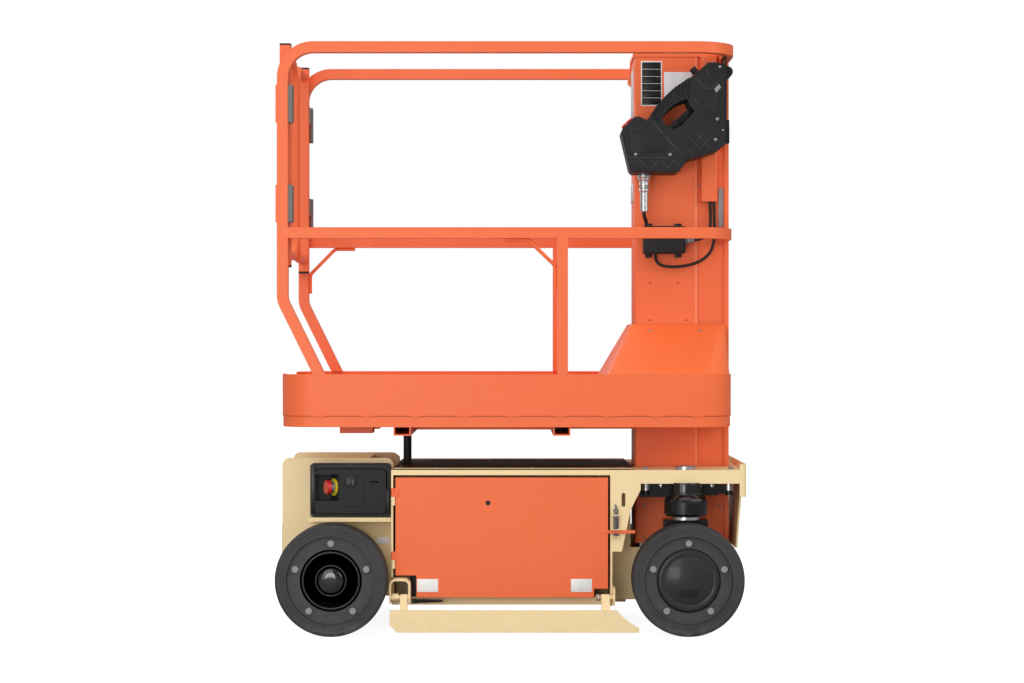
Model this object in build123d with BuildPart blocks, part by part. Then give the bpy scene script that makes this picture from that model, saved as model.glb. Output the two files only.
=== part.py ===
from build123d import *
from math import cos, pi, radians, sin
import os

os.makedirs("parts", exist_ok=True)

# Vertical mast lift. +X is the mast end, +Y is the left side, Z is up, millimetres.
# Overall reach
half_length = 688.0
half_width = 380.0
running_gap = 0.3
clearance = 6.0

# Wheels
tyre_radius = 162.5
tyre_width = 100.0
rim_radius = 128.0
hub_recess_radius = 90.0
lug_circle_radius = 108.0
lug_radius = 9.0
lug_count = 5
lug_height = 7.0
rear_axle_x = -524.0
front_axle_x = 511.0
spindle_radius = 20.0
wheel_inner_y = half_width - tyre_width

# Chassis tub
plate = 6.0
chassis_rear_x = -354.0
chassis_front_x = 667.0
chassis_half_width = 290.0
chassis_top_z = 478.0
floor_z = 80.0
sill_half_width = 260.0
sill_top_z = 103.0
tub_half_width = 130.0
bay_front_x = 294.0
door_band_depth = 15.0
rail_band_depth = 40.0
cover_thickness = 3.0

# Kingpins and knuckles
kingpin_y = 260.0
kingpin_radius = 20.0
kingpin_cap_radius = 30.0
kingpin_cap_height = 12.0
cap_overhang = 4.0
housing_radius = 42.0
housing_flare_radius = 65.0
thrust_washer_radius = 40.0
thrust_washer_height = 10.0
knuckle_length = 129.0
motor_radius = 60.0

# Mast sections
mast_rear_x = 371.0
mast_front_x = 654.0
mast_half_width = 100.0
mast_step_x = 558.0
mast_step_depth = 8.0
mast_wall = 6.0
stage_wall = 5.0
stage_gap = 7.0
mast_bottom_z = 247.0
mast_top_z = 1725.0
mast_well_gap = 10.0
raised_at_rest = 70.0

# Platform
deck_rear_x = -677.0
deck_front_x = 645.0
deck_half_width = 335.0
deck_floor_z = 638.0
toe_board_top_z = 759.0
deck_skirt_bottom_z = 605.0
deck_sheet = 3.0
deck_rear_corner = 100.0
deck_front_corner = 90.0
entry_half_width = 160.0
rail_tube = 31.75
tube_wall = 2.5
top_rail_z = 1728.0
mid_rail_z = 1187.0
rear_post_x = -684.0
rail_front_x = 655.0

# Side name, sign of Y
sides = (("left", 1), ("right", -1))


def block(x, y, z, mode=Mode.ADD):
    with Locations(((x[0] + x[1]) / 2, (y[0] + y[1]) / 2, (z[0] + z[1]) / 2)):
        Box(abs(x[1] - x[0]), abs(y[1] - y[0]), abs(z[1] - z[0]), mode=mode)


def upright(radius, x, y, z, mode=Mode.ADD):
    with Locations((x, y, (z[0] + z[1]) / 2)):
        Cylinder(radius, abs(z[1] - z[0]), mode=mode)


def crosswise(radius, x, y, z, mode=Mode.ADD):
    with Locations((x, (y[0] + y[1]) / 2, z)):
        Cylinder(radius, abs(y[1] - y[0]), rotation=(90, 0, 0), mode=mode)


def lengthwise(radius, x, y, z, mode=Mode.ADD):
    with Locations(((x[0] + x[1]) / 2, y, z)):
        Cylinder(radius, abs(x[1] - x[0]), rotation=(0, 90, 0), mode=mode)


def save(part, name):
    part.label = name
    export_step(part, f"parts/{name}.step")


# Wheels: radius and reach outward from the wheel's inner face, axis outward
rim_face = 90.0
rim_back = 8.0
drive_rim = (
    (spindle_radius + running_gap, rim_back), (rim_radius - running_gap, rim_back),
    (rim_radius - running_gap, rim_face), (hub_recess_radius, rim_face),
    (hub_recess_radius - 4, rim_face + 6), (71, rim_face + 6), (71, rim_face + 3), (0, rim_face + 3),
    (0, rim_face - 20), (spindle_radius + running_gap, rim_face - 20),
)
idler_rim = (
    (spindle_radius + running_gap, rim_back), (rim_radius - running_gap, rim_back),
    (rim_radius - running_gap, rim_face), (hub_recess_radius, rim_face),
    (hub_recess_radius, rim_face - 12), (77, rim_face - 12), (77, rim_face - 6), (70, rim_face - 6),
    (66, rim_face - 14), (46, rim_face - 14), (43, rim_face - 4), (34, rim_face - 4), (31, rim_face + 4),
    (20, rim_face + 8), (0, rim_face + 9), (0, rim_face - 20), (spindle_radius + running_gap, rim_face - 20),
)
tread_crown = 14.0
# Wheel name, axle place, rim profile
axles = (("front", front_axle_x, drive_rim), ("rear", rear_axle_x, idler_rim))
for end, axle_x, rim_profile in axles:
    for side_name, side in sides:
        centre = (axle_x, side * wheel_inner_y, tyre_radius)
        profile_plane = Plane(origin=centre, x_dir=(1, 0, 0), z_dir=(0, 0, side))
        spin_axis = Axis(centre, (0, side, 0))
        with BuildPart() as tyre:
            with BuildSketch(profile_plane) as tyre_section:
                with Locations(((rim_radius + tyre_radius) / 2, tyre_width / 2)):
                    Rectangle(tyre_radius - rim_radius, tyre_width)
                outer_corners = tyre_section.vertices().group_by(Axis.X)[-1]
                fillet(outer_corners, tread_crown)
            revolve(axis=spin_axis)
        save(tyre.part, f"tyre_{end}_{side_name}")
        with BuildPart() as rim:
            with BuildSketch(profile_plane):
                with BuildLine():
                    Polyline(*rim_profile, close=True)
                make_face()
            revolve(axis=spin_axis)
            face_plane = Plane(
                origin=(axle_x, side * (wheel_inner_y + rim_face), tyre_radius), x_dir=(1, 0, 0), z_dir=(0, side, 0)
            )
            with Locations(face_plane):
                with PolarLocations(lug_circle_radius, lug_count, start_angle=90):
                    Cylinder(lug_radius, 2 * lug_height)
        save(rim.part, f"rim_{end}_{side_name}")

# Steered knuckles: the pin turns in the housing, the casting hangs inboard of the wheel
washer_bottom_z = 2 * tyre_radius + clearance
washer_top_z = washer_bottom_z + thrust_washer_height
housing_bottom_z = washer_top_z + running_gap
housing_top_z = chassis_top_z - plate
knuckle_outer_y = wheel_inner_y - clearance
knuckle_inner_y = 205.0
for side_name, side in sides:
    with BuildPart() as kingpin:
        upright(thrust_washer_radius, front_axle_x, side * kingpin_y, (washer_bottom_z, washer_top_z))
        upright(
            kingpin_radius, front_axle_x, side * kingpin_y, (washer_top_z, chassis_top_z + running_gap)
        )
        upright(
            kingpin_cap_radius, front_axle_x, side * kingpin_y,
            (chassis_top_z + running_gap, chassis_top_z + running_gap + kingpin_cap_height),
        )
        chamfer(kingpin.faces().sort_by(Axis.Z)[-1].edges(), 3)
    save(kingpin.part, f"kingpin_{side_name}")
    with BuildPart() as knuckle:
        with BuildSketch(Plane(origin=(front_axle_x, side * knuckle_inner_y, 0), x_dir=(1, 0, 0), z_dir=(0, -1, 0))):
            with BuildLine():
                Polyline(
                    (-knuckle_length / 2, washer_bottom_z), (knuckle_length / 2, washer_bottom_z),
                    (knuckle_length / 2, washer_bottom_z - 30), (motor_radius, tyre_radius),
                    (-motor_radius, tyre_radius), (-knuckle_length / 2, washer_bottom_z - 30), close=True,
                )
            make_face()
        extrude(amount=-side * (knuckle_outer_y - knuckle_inner_y))
        crosswise(motor_radius, front_axle_x, (side * 165, side * knuckle_outer_y), tyre_radius)
        crosswise(
            spindle_radius, front_axle_x, (side * knuckle_outer_y, side * (wheel_inner_y + rim_face - 24)), tyre_radius
        )
    save(knuckle.part, f"knuckle_{side_name}")

# Kingpin housings: barrel tucked behind the rail band, flared at the foot
flare_profile = (
    (kingpin_radius + running_gap, housing_top_z), (housing_radius, housing_top_z), (housing_radius, 400),
    (housing_flare_radius - 6, 394), (housing_flare_radius, 384), (housing_flare_radius, housing_bottom_z + 8),
    (housing_flare_radius - 8, housing_bottom_z),
    (kingpin_radius + running_gap, housing_bottom_z),
)
band_inner_y = chassis_half_width - plate
flare_flat = 58.0
with BuildPart() as kingpin_housings:
    with BuildSketch(Plane(origin=(front_axle_x, kingpin_y, 0), x_dir=(1, 0, 0), z_dir=(0, -1, 0))):
        with BuildLine():
            Polyline(*flare_profile, close=True)
        make_face()
    revolve(axis=Axis((front_axle_x, kingpin_y, 0), (0, 0, 1)))
    block(
        (front_axle_x - 50, front_axle_x + 50), (band_inner_y - running_gap, band_inner_y + 60),
        (chassis_top_z - rail_band_depth - clearance / 2, chassis_top_z), Mode.SUBTRACT,
    )
    for end_sign in (-1, 1):
        block(
            (front_axle_x + end_sign * flare_flat, front_axle_x + end_sign * 80),
            (kingpin_y - 80, kingpin_y + 80), (housing_bottom_z, 400), Mode.SUBTRACT,
        )
    # Steer link brackets: rear and front ears beside the barrel
    ear_y = (kingpin_y - 48, kingpin_y - 36)
    block((378, front_axle_x - 10), ear_y, (394, 437))
    block((front_axle_x + 10, 612), ear_y, (399, 437))
    for bush_x in (397, 643):
        upright(12, bush_x, kingpin_y - 42, (400, housing_top_z))
    block((600, 643), ear_y, (404, 430))
    mirror(about=Plane.XZ)
save(kingpin_housings.part, "kingpin_housings")

# Battery doors and their hinges
door_x = (-341.0, 281.0)
door_z = (105.5, 456.0)
door_outer_y = chassis_half_width + 5.0
door_sheet = 3.0
door_rim_depth = 16.0
door_hinge_x = chassis_rear_x + plate
door_hinge_y = door_outer_y + 3.0
hinge_barrel_radius = 6.0
hinge_pin_radius = 3.0
hinge_barrel_height = 25.0
hinge_heights = (215.0, 400.0)

# Chassis frame: floor, tub walls, bay walls, top plate with the mast well, side bands
rear_strip_bottom_z = 165.0
rod_x = -320.0
rod_radius = 12.5
nose_x = half_length - plate
nose_corner = 18.0
nose_half_width = chassis_half_width - nose_corner - plate
gusset = ((bay_front_x, 438), (377, 438), (377, 420), (347, 360), (322, 239), (bay_front_x, 239))
well_x = (mast_rear_x - mast_well_gap, mast_front_x + 7)
well_y = mast_half_width + mast_well_gap
bulkhead_x = bay_front_x - plate
tub_front_top_z = 237.0
wheel_well_x = 356.0
with BuildPart() as chassis_frame:
    block((chassis_rear_x, chassis_front_x), (0, tub_half_width), (floor_z, floor_z + plate))
    block((chassis_rear_x, chassis_front_x), (tub_half_width - plate, tub_half_width), (floor_z, chassis_top_z))
    block((chassis_rear_x, bay_front_x), (0, sill_half_width), (floor_z, floor_z + plate))
    block((chassis_rear_x, bay_front_x), (sill_half_width - plate, sill_half_width), (floor_z, sill_top_z))
    block((chassis_rear_x, chassis_rear_x + plate), (0, sill_half_width), (floor_z, chassis_top_z))
    block((chassis_rear_x, chassis_rear_x + plate), (0, chassis_half_width), (rear_strip_bottom_z, chassis_top_z))
    block((bulkhead_x, bay_front_x), (tub_half_width - plate, chassis_half_width), (floor_z, chassis_top_z))
    block(
        (wheel_well_x, chassis_front_x), (tub_half_width - plate, tub_half_width),
        (tub_front_top_z, chassis_top_z), Mode.SUBTRACT,
    )
    block((chassis_front_x - plate, chassis_front_x), (0, tub_half_width), (floor_z, tub_front_top_z))
    block((chassis_rear_x, chassis_front_x), (0, chassis_half_width), (chassis_top_z - plate, chassis_top_z))
    block((chassis_front_x, nose_x), (0, nose_half_width), (chassis_top_z - plate, chassis_top_z))
    block(
        (chassis_rear_x, bay_front_x), (band_inner_y, chassis_half_width),
        (chassis_top_z - door_band_depth, chassis_top_z),
    )
    block(
        (bulkhead_x, chassis_front_x), (band_inner_y, chassis_half_width),
        (chassis_top_z - rail_band_depth, chassis_top_z),
    )
    with BuildSketch(Plane(origin=(0, band_inner_y, 0), x_dir=(1, 0, 0), z_dir=(0, -1, 0))):
        with BuildLine():
            Polyline(*gusset, close=True)
        make_face()
        with Locations((326.5, 390.5)):
            SlotOverall(41, 11, rotation=90, mode=Mode.SUBTRACT)
    extrude(amount=-plate)
    for hinge_z in hinge_heights:
        foot_z = (hinge_z - hinge_barrel_height, hinge_z)
        block((chassis_rear_x, door_hinge_x), (band_inner_y, door_hinge_y), foot_z)
        upright(hinge_barrel_radius, door_hinge_x, door_hinge_y, foot_z)
        upright(hinge_pin_radius, door_hinge_x, door_hinge_y, (hinge_z, hinge_z + hinge_barrel_height))
    mirror(about=Plane.XZ)
    block(well_x, (-well_y, well_y), (chassis_top_z - plate, chassis_top_z), Mode.SUBTRACT)
    upright(rod_radius + clearance, rod_x, 0, (chassis_top_z - plate, chassis_top_z), Mode.SUBTRACT)
    for side_name, side in sides:
        upright(
            kingpin_radius + running_gap, front_axle_x, side * kingpin_y,
            (chassis_top_z - plate, chassis_top_z), Mode.SUBTRACT,
        )
save(chassis_frame.part, "chassis_frame")

# Dark cover over the battery bays
with BuildPart() as top_cover:
    block(
        (door_hinge_x, well_x[0] - 4), (-band_inner_y, band_inner_y), (chassis_top_z, chassis_top_z + cover_thickness)
    )
    fillet(top_cover.edges().filter_by(Axis.Z), 12)
    upright(
        rod_radius + clearance, rod_x, 0, (chassis_top_z, chassis_top_z + cover_thickness), Mode.SUBTRACT
    )
save(top_cover.part, "top_cover")

# Nose cover: bent lip across the front with a slanted panel between the wheels
lip_bottom_z = 399.0
lip_top_z = 495.0
nose_panel_half_width = 150.0
with BuildPart() as nose_cover:
    with BuildSketch(Plane.XY.offset(lip_bottom_z)):
        with Locations(((chassis_front_x + half_length) / 2, 0)):
            Rectangle(half_length - chassis_front_x, 2 * chassis_half_width)
    extrude(amount=lip_top_z - lip_bottom_z)
    front_edges = nose_cover.edges().filter_by(Axis.Z).group_by(Axis.X)[-1]
    fillet(front_edges, nose_corner)
    rear_face = nose_cover.faces().sort_by(Axis.X)[0]
    top_and_bottom = nose_cover.faces().filter_by(Axis.Z)
    offset(amount=-plate, openings=[rear_face, *top_and_bottom])
    with BuildSketch(Plane(origin=(0, nose_panel_half_width, 0), x_dir=(1, 0, 0), z_dir=(0, -1, 0))):
        with BuildLine():
            Polyline(
                (nose_x, lip_bottom_z), (half_length, lip_bottom_z), (chassis_front_x + plate + 2, tub_front_top_z),
                (chassis_front_x + 2, tub_front_top_z), close=True,
            )
        make_face()
    extrude(amount=2 * nose_panel_half_width)
save(nose_cover.part, "nose_cover")

# Rear frame: side plates, bottom plate and the shelves of the two boxes
side_plate_y = 164.0
side_plate_top_z = 507.0
side_plate_bottom_z = 95.0
shelf_top_z = 336.0
shelf_depth = 12.0
shelf_x = (-600.0, -356.0)
box_front_y = 260.0
step_sheet = 4.0
with BuildPart() as rear_frame:
    with BuildSketch(Plane(origin=(0, side_plate_y, 0), x_dir=(1, 0, 0), z_dir=(0, -1, 0))) as side_sketch:
        with BuildLine():
            Polyline(
                (chassis_rear_x, side_plate_top_z), (-half_length + 2, side_plate_top_z), (-half_length + 2, 315),
                (-half_length, 300), (-half_length, side_plate_bottom_z), (chassis_rear_x, side_plate_bottom_z),
                close=True,
            )
        make_face()
        fillet(side_sketch.vertices().group_by(Axis.Y)[-1], 22)
        fillet(side_sketch.vertices().group_by(Axis.Y)[0].sort_by(Axis.X)[0], 45)
    extrude(amount=plate)
    block(
        (-half_length + 48, chassis_rear_x), (0, side_plate_y), (side_plate_bottom_z, side_plate_bottom_z + plate)
    )
    block(shelf_x, (side_plate_y, box_front_y + 2), (shelf_top_z - shelf_depth, shelf_top_z))
    mirror(about=Plane.XZ)
save(rear_frame.part, "rear_frame")

# Entry steps: one bent sheet with two treads between the side plates
step_half_width = side_plate_y - plate
treads = (((-684, -560), 200), ((-564, -430), 385))
risers = ((-564, (196, 385)), (-434, (381, 500)), (-684, (176, 200)))
with BuildPart() as entry_steps:
    for tread_x, tread_z in treads:
        block(tread_x, (-step_half_width, step_half_width), (tread_z - step_sheet, tread_z))
    for riser_x, riser_z in risers:
        block((riser_x, riser_x + step_sheet), (-step_half_width, step_half_width), riser_z)
save(entry_steps.part, "entry_steps")

# Rear axle stubs, bolted outside the side plates
with BuildPart() as rear_axle_stubs:
    crosswise(55, rear_axle_x, (side_plate_y, side_plate_y + 10), tyre_radius)
    crosswise(30, rear_axle_x, (side_plate_y + 10, wheel_inner_y - clearance), tyre_radius)
    crosswise(
        spindle_radius, rear_axle_x, (wheel_inner_y - clearance, wheel_inner_y + rim_face - 24), tyre_radius
    )
    mirror(about=Plane.XZ)
save(rear_axle_stubs.part, "rear_axle_stubs")

# Battery packs stand on the bay floors
for side_name, side in sides:
    with BuildPart() as battery_pack:
        block((-300, 240), (side * 140, side * 250), (floor_z + plate, 360))
        fillet(battery_pack.edges().filter_by(Axis.Z), 8)
    save(battery_pack.part, f"battery_pack_{side_name}")

# Battery doors: pressed panels with a folded rim, notched round the guard brackets
rear_notch = (-280.0, 170.0)
front_notch = (240.0, 131.0)
strap_z = (293.0, 302.0)
strap_end_x = 360.0
for side_name, side in sides:
    door_plane = Plane(origin=(0, side * door_outer_y, 0), x_dir=(1, 0, 0), z_dir=(0, -1, 0))
    rim_plane = Plane(origin=(0, side * (door_outer_y - door_sheet), 0), x_dir=(1, 0, 0), z_dir=(0, -1, 0))
    outline = (
        (door_x[0], door_z[1]), (door_x[1], door_z[1]), (door_x[1], front_notch[1]), front_notch,
        (front_notch[0], door_z[0]), (rear_notch[0], door_z[0]), rear_notch, (door_x[0], rear_notch[1]),
    )
    with BuildPart() as battery_door:
        with BuildSketch(door_plane):
            with BuildLine():
                Polyline(*outline, close=True)
            make_face()
        extrude(amount=side * door_rim_depth)
        with BuildSketch(rim_plane):
            with BuildLine():
                Polyline(*outline, close=True)
            make_face()
            offset(amount=-door_sheet, kind=Kind.INTERSECTION)
        extrude(amount=side * door_rim_depth, mode=Mode.SUBTRACT)
        for hinge_z in hinge_heights:
            leaf_z = (hinge_z + running_gap, hinge_z + hinge_barrel_height)
            block((door_hinge_x, door_x[0] + 8), (side * (door_outer_y - 1), side * (door_hinge_y + 1)), leaf_z)
            upright(hinge_barrel_radius, door_hinge_x, side * door_hinge_y, leaf_z)
        for hinge_z in hinge_heights:
            leaf_z = (hinge_z + running_gap, hinge_z + hinge_barrel_height)
            upright(hinge_pin_radius + running_gap, door_hinge_x, side * door_hinge_y, leaf_z, Mode.SUBTRACT)
    save(battery_door.part, f"battery_door_{side_name}")
    with BuildPart() as door_strap:
        block((door_x[1] - 16, strap_end_x), (side * door_outer_y, side * (door_outer_y + 3)), strap_z)
    save(door_strap.part, f"door_strap_{side_name}")

# Pothole guards and the brackets that hold their hinge pins
guard_y = (367.0, 373.0)
guard_z = (12.6, 76.8)
guard_rear_x = -354.0
guard_tip_x = 368.0
guard_top_x = 303.0
guard_hinge_y = 328.0
guard_hinge_z = 109.0
guard_pin_radius = 6.0
guard_eye_radius = 10.0
hoop_x = (-358.0, -296.0)
hoop_z = (91.0, 163.0)
hoop_outer_y = 333.0
flange_x = bay_front_x + plate
with BuildPart() as guard_brackets:
    with BuildSketch(Plane(origin=(0, sill_half_width, 0), x_dir=(1, 0, 0), z_dir=(0, -1, 0))) as hoop_sketch:
        with Locations(((hoop_x[0] + hoop_x[1]) / 2, (hoop_z[0] + hoop_z[1]) / 2)):
            Rectangle(hoop_x[1] - hoop_x[0], hoop_z[1] - hoop_z[0])
        fillet(hoop_sketch.vertices().group_by(Axis.Y)[-1], 20)
        with BuildSketch(mode=Mode.SUBTRACT) as hoop_inner:
            with Locations(((hoop_x[0] + hoop_x[1]) / 2, (hoop_z[0] + hoop_z[1]) / 2 - plate / 2)):
                Rectangle(hoop_x[1] - hoop_x[0] - 2 * plate, hoop_z[1] - hoop_z[0] - plate)
            fillet(hoop_inner.vertices().group_by(Axis.Y)[-1], 20 - plate)
    extrude(amount=-(hoop_outer_y - sill_half_width))
    lengthwise(guard_pin_radius, hoop_x, guard_hinge_y, guard_hinge_z)
    lengthwise(11, (-348, -331), guard_hinge_y - 6, guard_hinge_z)
    block((bay_front_x, flange_x), (sill_half_width + 4, hoop_outer_y + 5), (86, 138))
    lengthwise(guard_pin_radius, (244, flange_x), guard_hinge_y, guard_hinge_z)
    lengthwise(9, (244, 257), guard_hinge_y, guard_hinge_z)
    mirror(about=Plane.XZ)
save(guard_brackets.part, "guard_brackets")

guard_arms = ((-325.0, -304.0), (260.0, 284.0))
for side_name, side in sides:
    with BuildPart() as pothole_guard:
        with BuildSketch(Plane(origin=(0, side * guard_y[1], 0), x_dir=(1, 0, 0), z_dir=(0, -1, 0))):
            with BuildLine():
                Polyline(
                    (guard_top_x, guard_z[1]), (guard_rear_x, guard_z[1]), (guard_rear_x, guard_z[0] + 22),
                    (guard_rear_x + 22, guard_z[0]), (guard_tip_x, guard_z[0]), (guard_tip_x, guard_z[0] + 12.4),
                )
                RadiusArc(
                    (guard_tip_x, guard_z[0] + 12.4), (guard_top_x, guard_z[1]), tyre_radius + 45
                )
            make_face()
        extrude(amount=side * (guard_y[1] - guard_y[0]))
        for arm_x in guard_arms:
            with BuildSketch(Plane.YZ.offset(arm_x[0])):
                with BuildLine():
                    Polyline(
                        (side * (guard_hinge_y - 9), guard_hinge_z), (side * (guard_hinge_y + 8), guard_hinge_z + 6),
                        (side * guard_y[0], guard_z[1]), (side * guard_y[0], guard_z[1] - 28),
                        (side * (guard_hinge_y + 14), guard_hinge_z - 45), close=True,
                    )
                make_face()
            extrude(amount=arm_x[1] - arm_x[0])
            lengthwise(guard_eye_radius, arm_x, side * guard_hinge_y, guard_hinge_z)
            lengthwise(
                guard_pin_radius + running_gap, arm_x, side * guard_hinge_y, guard_hinge_z, Mode.SUBTRACT
            )
    save(pothole_guard.part, f"pothole_guard_{side_name}")

# Boxes on the shelves: control box on the right with its stop button in a recess, plain box on the left
flange_face_y = 244.0
lid_face_y = 257.0
box_back_y = side_plate_y
stop_centre = (-525.0, 225.0, 424.0)
stop_turn = 63.0
for side_name, side in sides:
    with BuildPart() as shelf_box:
        block((-586, -365), (side * box_back_y, side * (flange_face_y - 6)), (shelf_top_z, 490))
        fillet(shelf_box.edges().filter_by(Axis.Y), 10)
        with BuildSketch(Plane(origin=(0, side * flange_face_y, 0), x_dir=(1, 0, 0), z_dir=(0, -1, 0))):
            with Locations((-475.5, (shelf_top_z + 496) / 2)):
                RectangleRounded(239, 496 - shelf_top_z, 12)
        extrude(amount=side * 6)
        with BuildSketch(Plane(origin=(0, side * flange_face_y, 0), x_dir=(1, 0, 0), z_dir=(0, -1, 0))):
            with Locations((-476, (shelf_top_z + 490) / 2)):
                RectangleRounded(214, 490 - shelf_top_z - 20, 16)
        extrude(amount=-side * (lid_face_y - flange_face_y), taper=12)
        if side < 0:
            with BuildSketch(Plane.XY.offset(385)):
                with BuildLine():
                    Polyline((-600, -200), (-537.6, -200), (-506, -262), (-600, -262), close=True)
                make_face()
            extrude(amount=78, mode=Mode.SUBTRACT)
            crosswise(13, -474, (-(lid_face_y - 1), -(lid_face_y + 16)), 442)
    save(shelf_box.part, "ground_control_box" if side < 0 else "electrical_box")

stop_axis = Vector(-sin(radians(stop_turn)), -cos(radians(stop_turn)), 0)
stop_plane = Plane(origin=(stop_centre[0], -stop_centre[1], stop_centre[2]), z_dir=stop_axis)
with BuildPart() as ground_stop_ring:
    with BuildSketch(stop_plane):
        Circle(26)
    extrude(amount=4)
save(ground_stop_ring.part, "ground_stop_ring")
with BuildPart() as ground_stop_button:
    with BuildSketch(stop_plane.offset(4)):
        Circle(14)
    extrude(amount=12)
    with BuildSketch(stop_plane.offset(16)):
        Circle(21)
    extrude(amount=12)
    fillet(ground_stop_button.edges().filter_by(GeomType.CIRCLE).sort_by(SortBy.RADIUS)[-2:], 3)
save(ground_stop_button.part, "ground_stop_button")

# Mast: each section slides inside the next one out, the first is fixed to the tub floor
lift_step = raised_at_rest / 3
mast_foot_height = 8.0
cap_height = 12.0
cap_overhang = 4.0
cavity_half_width = mast_half_width - mast_step_depth - mast_wall
inset = mast_wall + stage_gap
nest = stage_wall + stage_gap
stowed_cap_z = mast_top_z - cap_height - raised_at_rest
foot_z = floor_z + plate
pad_thickness = stage_gap - running_gap
pad_size = 60.0
mast_centre_x = (mast_rear_x + mast_front_x) / 2


def wear_pads(rear_wall_x, front_wall_x, wall_y, low_z):
    pad_z = (low_z, low_z + pad_size)
    pad_x = (mast_centre_x - pad_size / 2, mast_centre_x + pad_size / 2)
    for sign in (-1, 1):
        block(pad_x, (sign * wall_y, sign * (wall_y - pad_thickness)), pad_z)
    block((rear_wall_x, rear_wall_x + pad_thickness), (-pad_size / 2, pad_size / 2), pad_z)
    block((front_wall_x - pad_thickness, front_wall_x), (-pad_size / 2, pad_size / 2), pad_z)


# Section name, nesting depth counted from the outside, lift at rest
sections = (("mast_stage_2", 0, 2 * lift_step), ("mast_stage_1", 1, lift_step), ("mast_base", 2, 0.0))
for section_name, depth, lift in sections:
    rear_x = mast_rear_x + inset + depth * nest
    front_x = mast_front_x - inset - depth * nest
    half_y = cavity_half_width - stage_gap - depth * nest
    low_z = foot_z + mast_foot_height + clearance * (2 - depth) + lift
    high_z = stowed_cap_z - clearance * (depth + 1) + lift
    if depth == 2:
        low_z = foot_z
    with BuildPart() as mast_section:
        block((rear_x, front_x), (-half_y, half_y), (low_z, high_z))
        fillet(mast_section.edges().filter_by(Axis.Z), 6)
        block(
            (rear_x + stage_wall, front_x - stage_wall), (-half_y + stage_wall, half_y - stage_wall),
            (low_z, high_z), Mode.SUBTRACT,
        )
        if depth < 2:
            wear_pads(rear_x + stage_wall, front_x - stage_wall, half_y - stage_wall, low_z)
        if depth == 2:
            block((rear_x - 24, front_x + 24), (-half_y - 40, half_y + 40), (foot_z, foot_z + mast_foot_height))
    save(mast_section.part, section_name)

mast_flange_x = 641.0
with BuildPart() as mast_outer:
    with BuildSketch(Plane.XY.offset(mast_bottom_z)):
        with BuildLine():
            Polyline(
                (mast_rear_x, 0), (mast_rear_x, mast_half_width), (mast_step_x, mast_half_width),
                (mast_step_x, mast_half_width - mast_step_depth), (mast_flange_x, mast_half_width - mast_step_depth),
                (mast_flange_x, mast_half_width - 1), (mast_front_x, mast_half_width - 1), (mast_front_x, 0),
                close=True,
            )
        make_face()
        mirror(about=Plane.XZ)
    extrude(amount=mast_top_z - cap_height - mast_bottom_z)
    rear_corners = mast_outer.edges().filter_by(Axis.Z).group_by(Axis.X)[0]
    fillet(rear_corners, 8)
    block(
        (mast_rear_x + mast_wall, mast_front_x - mast_wall), (-cavity_half_width, cavity_half_width),
        (mast_bottom_z, mast_top_z - cap_height), Mode.SUBTRACT,
    )
    wear_pads(mast_rear_x + mast_wall, mast_front_x - mast_wall, cavity_half_width, mast_bottom_z)
save(mast_outer.part, "mast_outer")
with BuildPart() as mast_cap:
    block(
        (mast_rear_x - 5, mast_front_x + 3), (-mast_half_width - cap_overhang, mast_half_width + cap_overhang),
        (mast_top_z - cap_height, mast_top_z),
    )
    fillet(mast_cap.edges().filter_by(Axis.Z), 10)
save(mast_cap.part, "mast_cap")

# Deck: floor with a bent toe board, open at the entry and round the mast
fit_y = mast_half_width + running_gap
fit_x = mast_rear_x - running_gap
deck_centre_x = (deck_rear_x + deck_front_x) / 2
deck_length = deck_front_x - deck_rear_x
pan_inset = 2.0


def deck_outline(shrink, low_z):
    with BuildSketch(Plane.XY.offset(low_z)) as outline_sketch:
        with Locations((deck_centre_x, 0)):
            Rectangle(deck_length - 2 * shrink, 2 * (deck_half_width - shrink))
        corners = outline_sketch.vertices().group_by(Axis.X)
        fillet(corners[0], deck_rear_corner - shrink)
        corners = outline_sketch.vertices().group_by(Axis.X)
        fillet(corners[-1], deck_front_corner - shrink)
    return outline_sketch.sketch


# The mast skirt stands in a shallow seat pressed into the floor
skirt_rear_x = 272.0
skirt_shoulder_z = 745.0
skirt_top_z = 907.0
skirt_side_y = deck_half_width - deck_sheet - running_gap
skirt_front_x = deck_front_x - deck_sheet - running_gap
skirt_rear_radius = 20.0
skirt_front_radius = deck_front_corner - deck_sheet - running_gap
skirt_seat_depth = 1.0
skirt_foot_z = deck_floor_z - skirt_seat_depth


def skirt_section(low_z, rear_x, front_x, half_y, rear_radius, front_radius):
    with BuildSketch(Plane.XY.offset(low_z)) as ring:
        with Locations(((rear_x + front_x) / 2, 0)):
            Rectangle(front_x - rear_x, 2 * half_y)
        fillet(ring.vertices().group_by(Axis.X)[0], rear_radius)
        fillet(ring.vertices().group_by(Axis.X)[-1], front_radius)
    return ring.sketch


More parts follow.
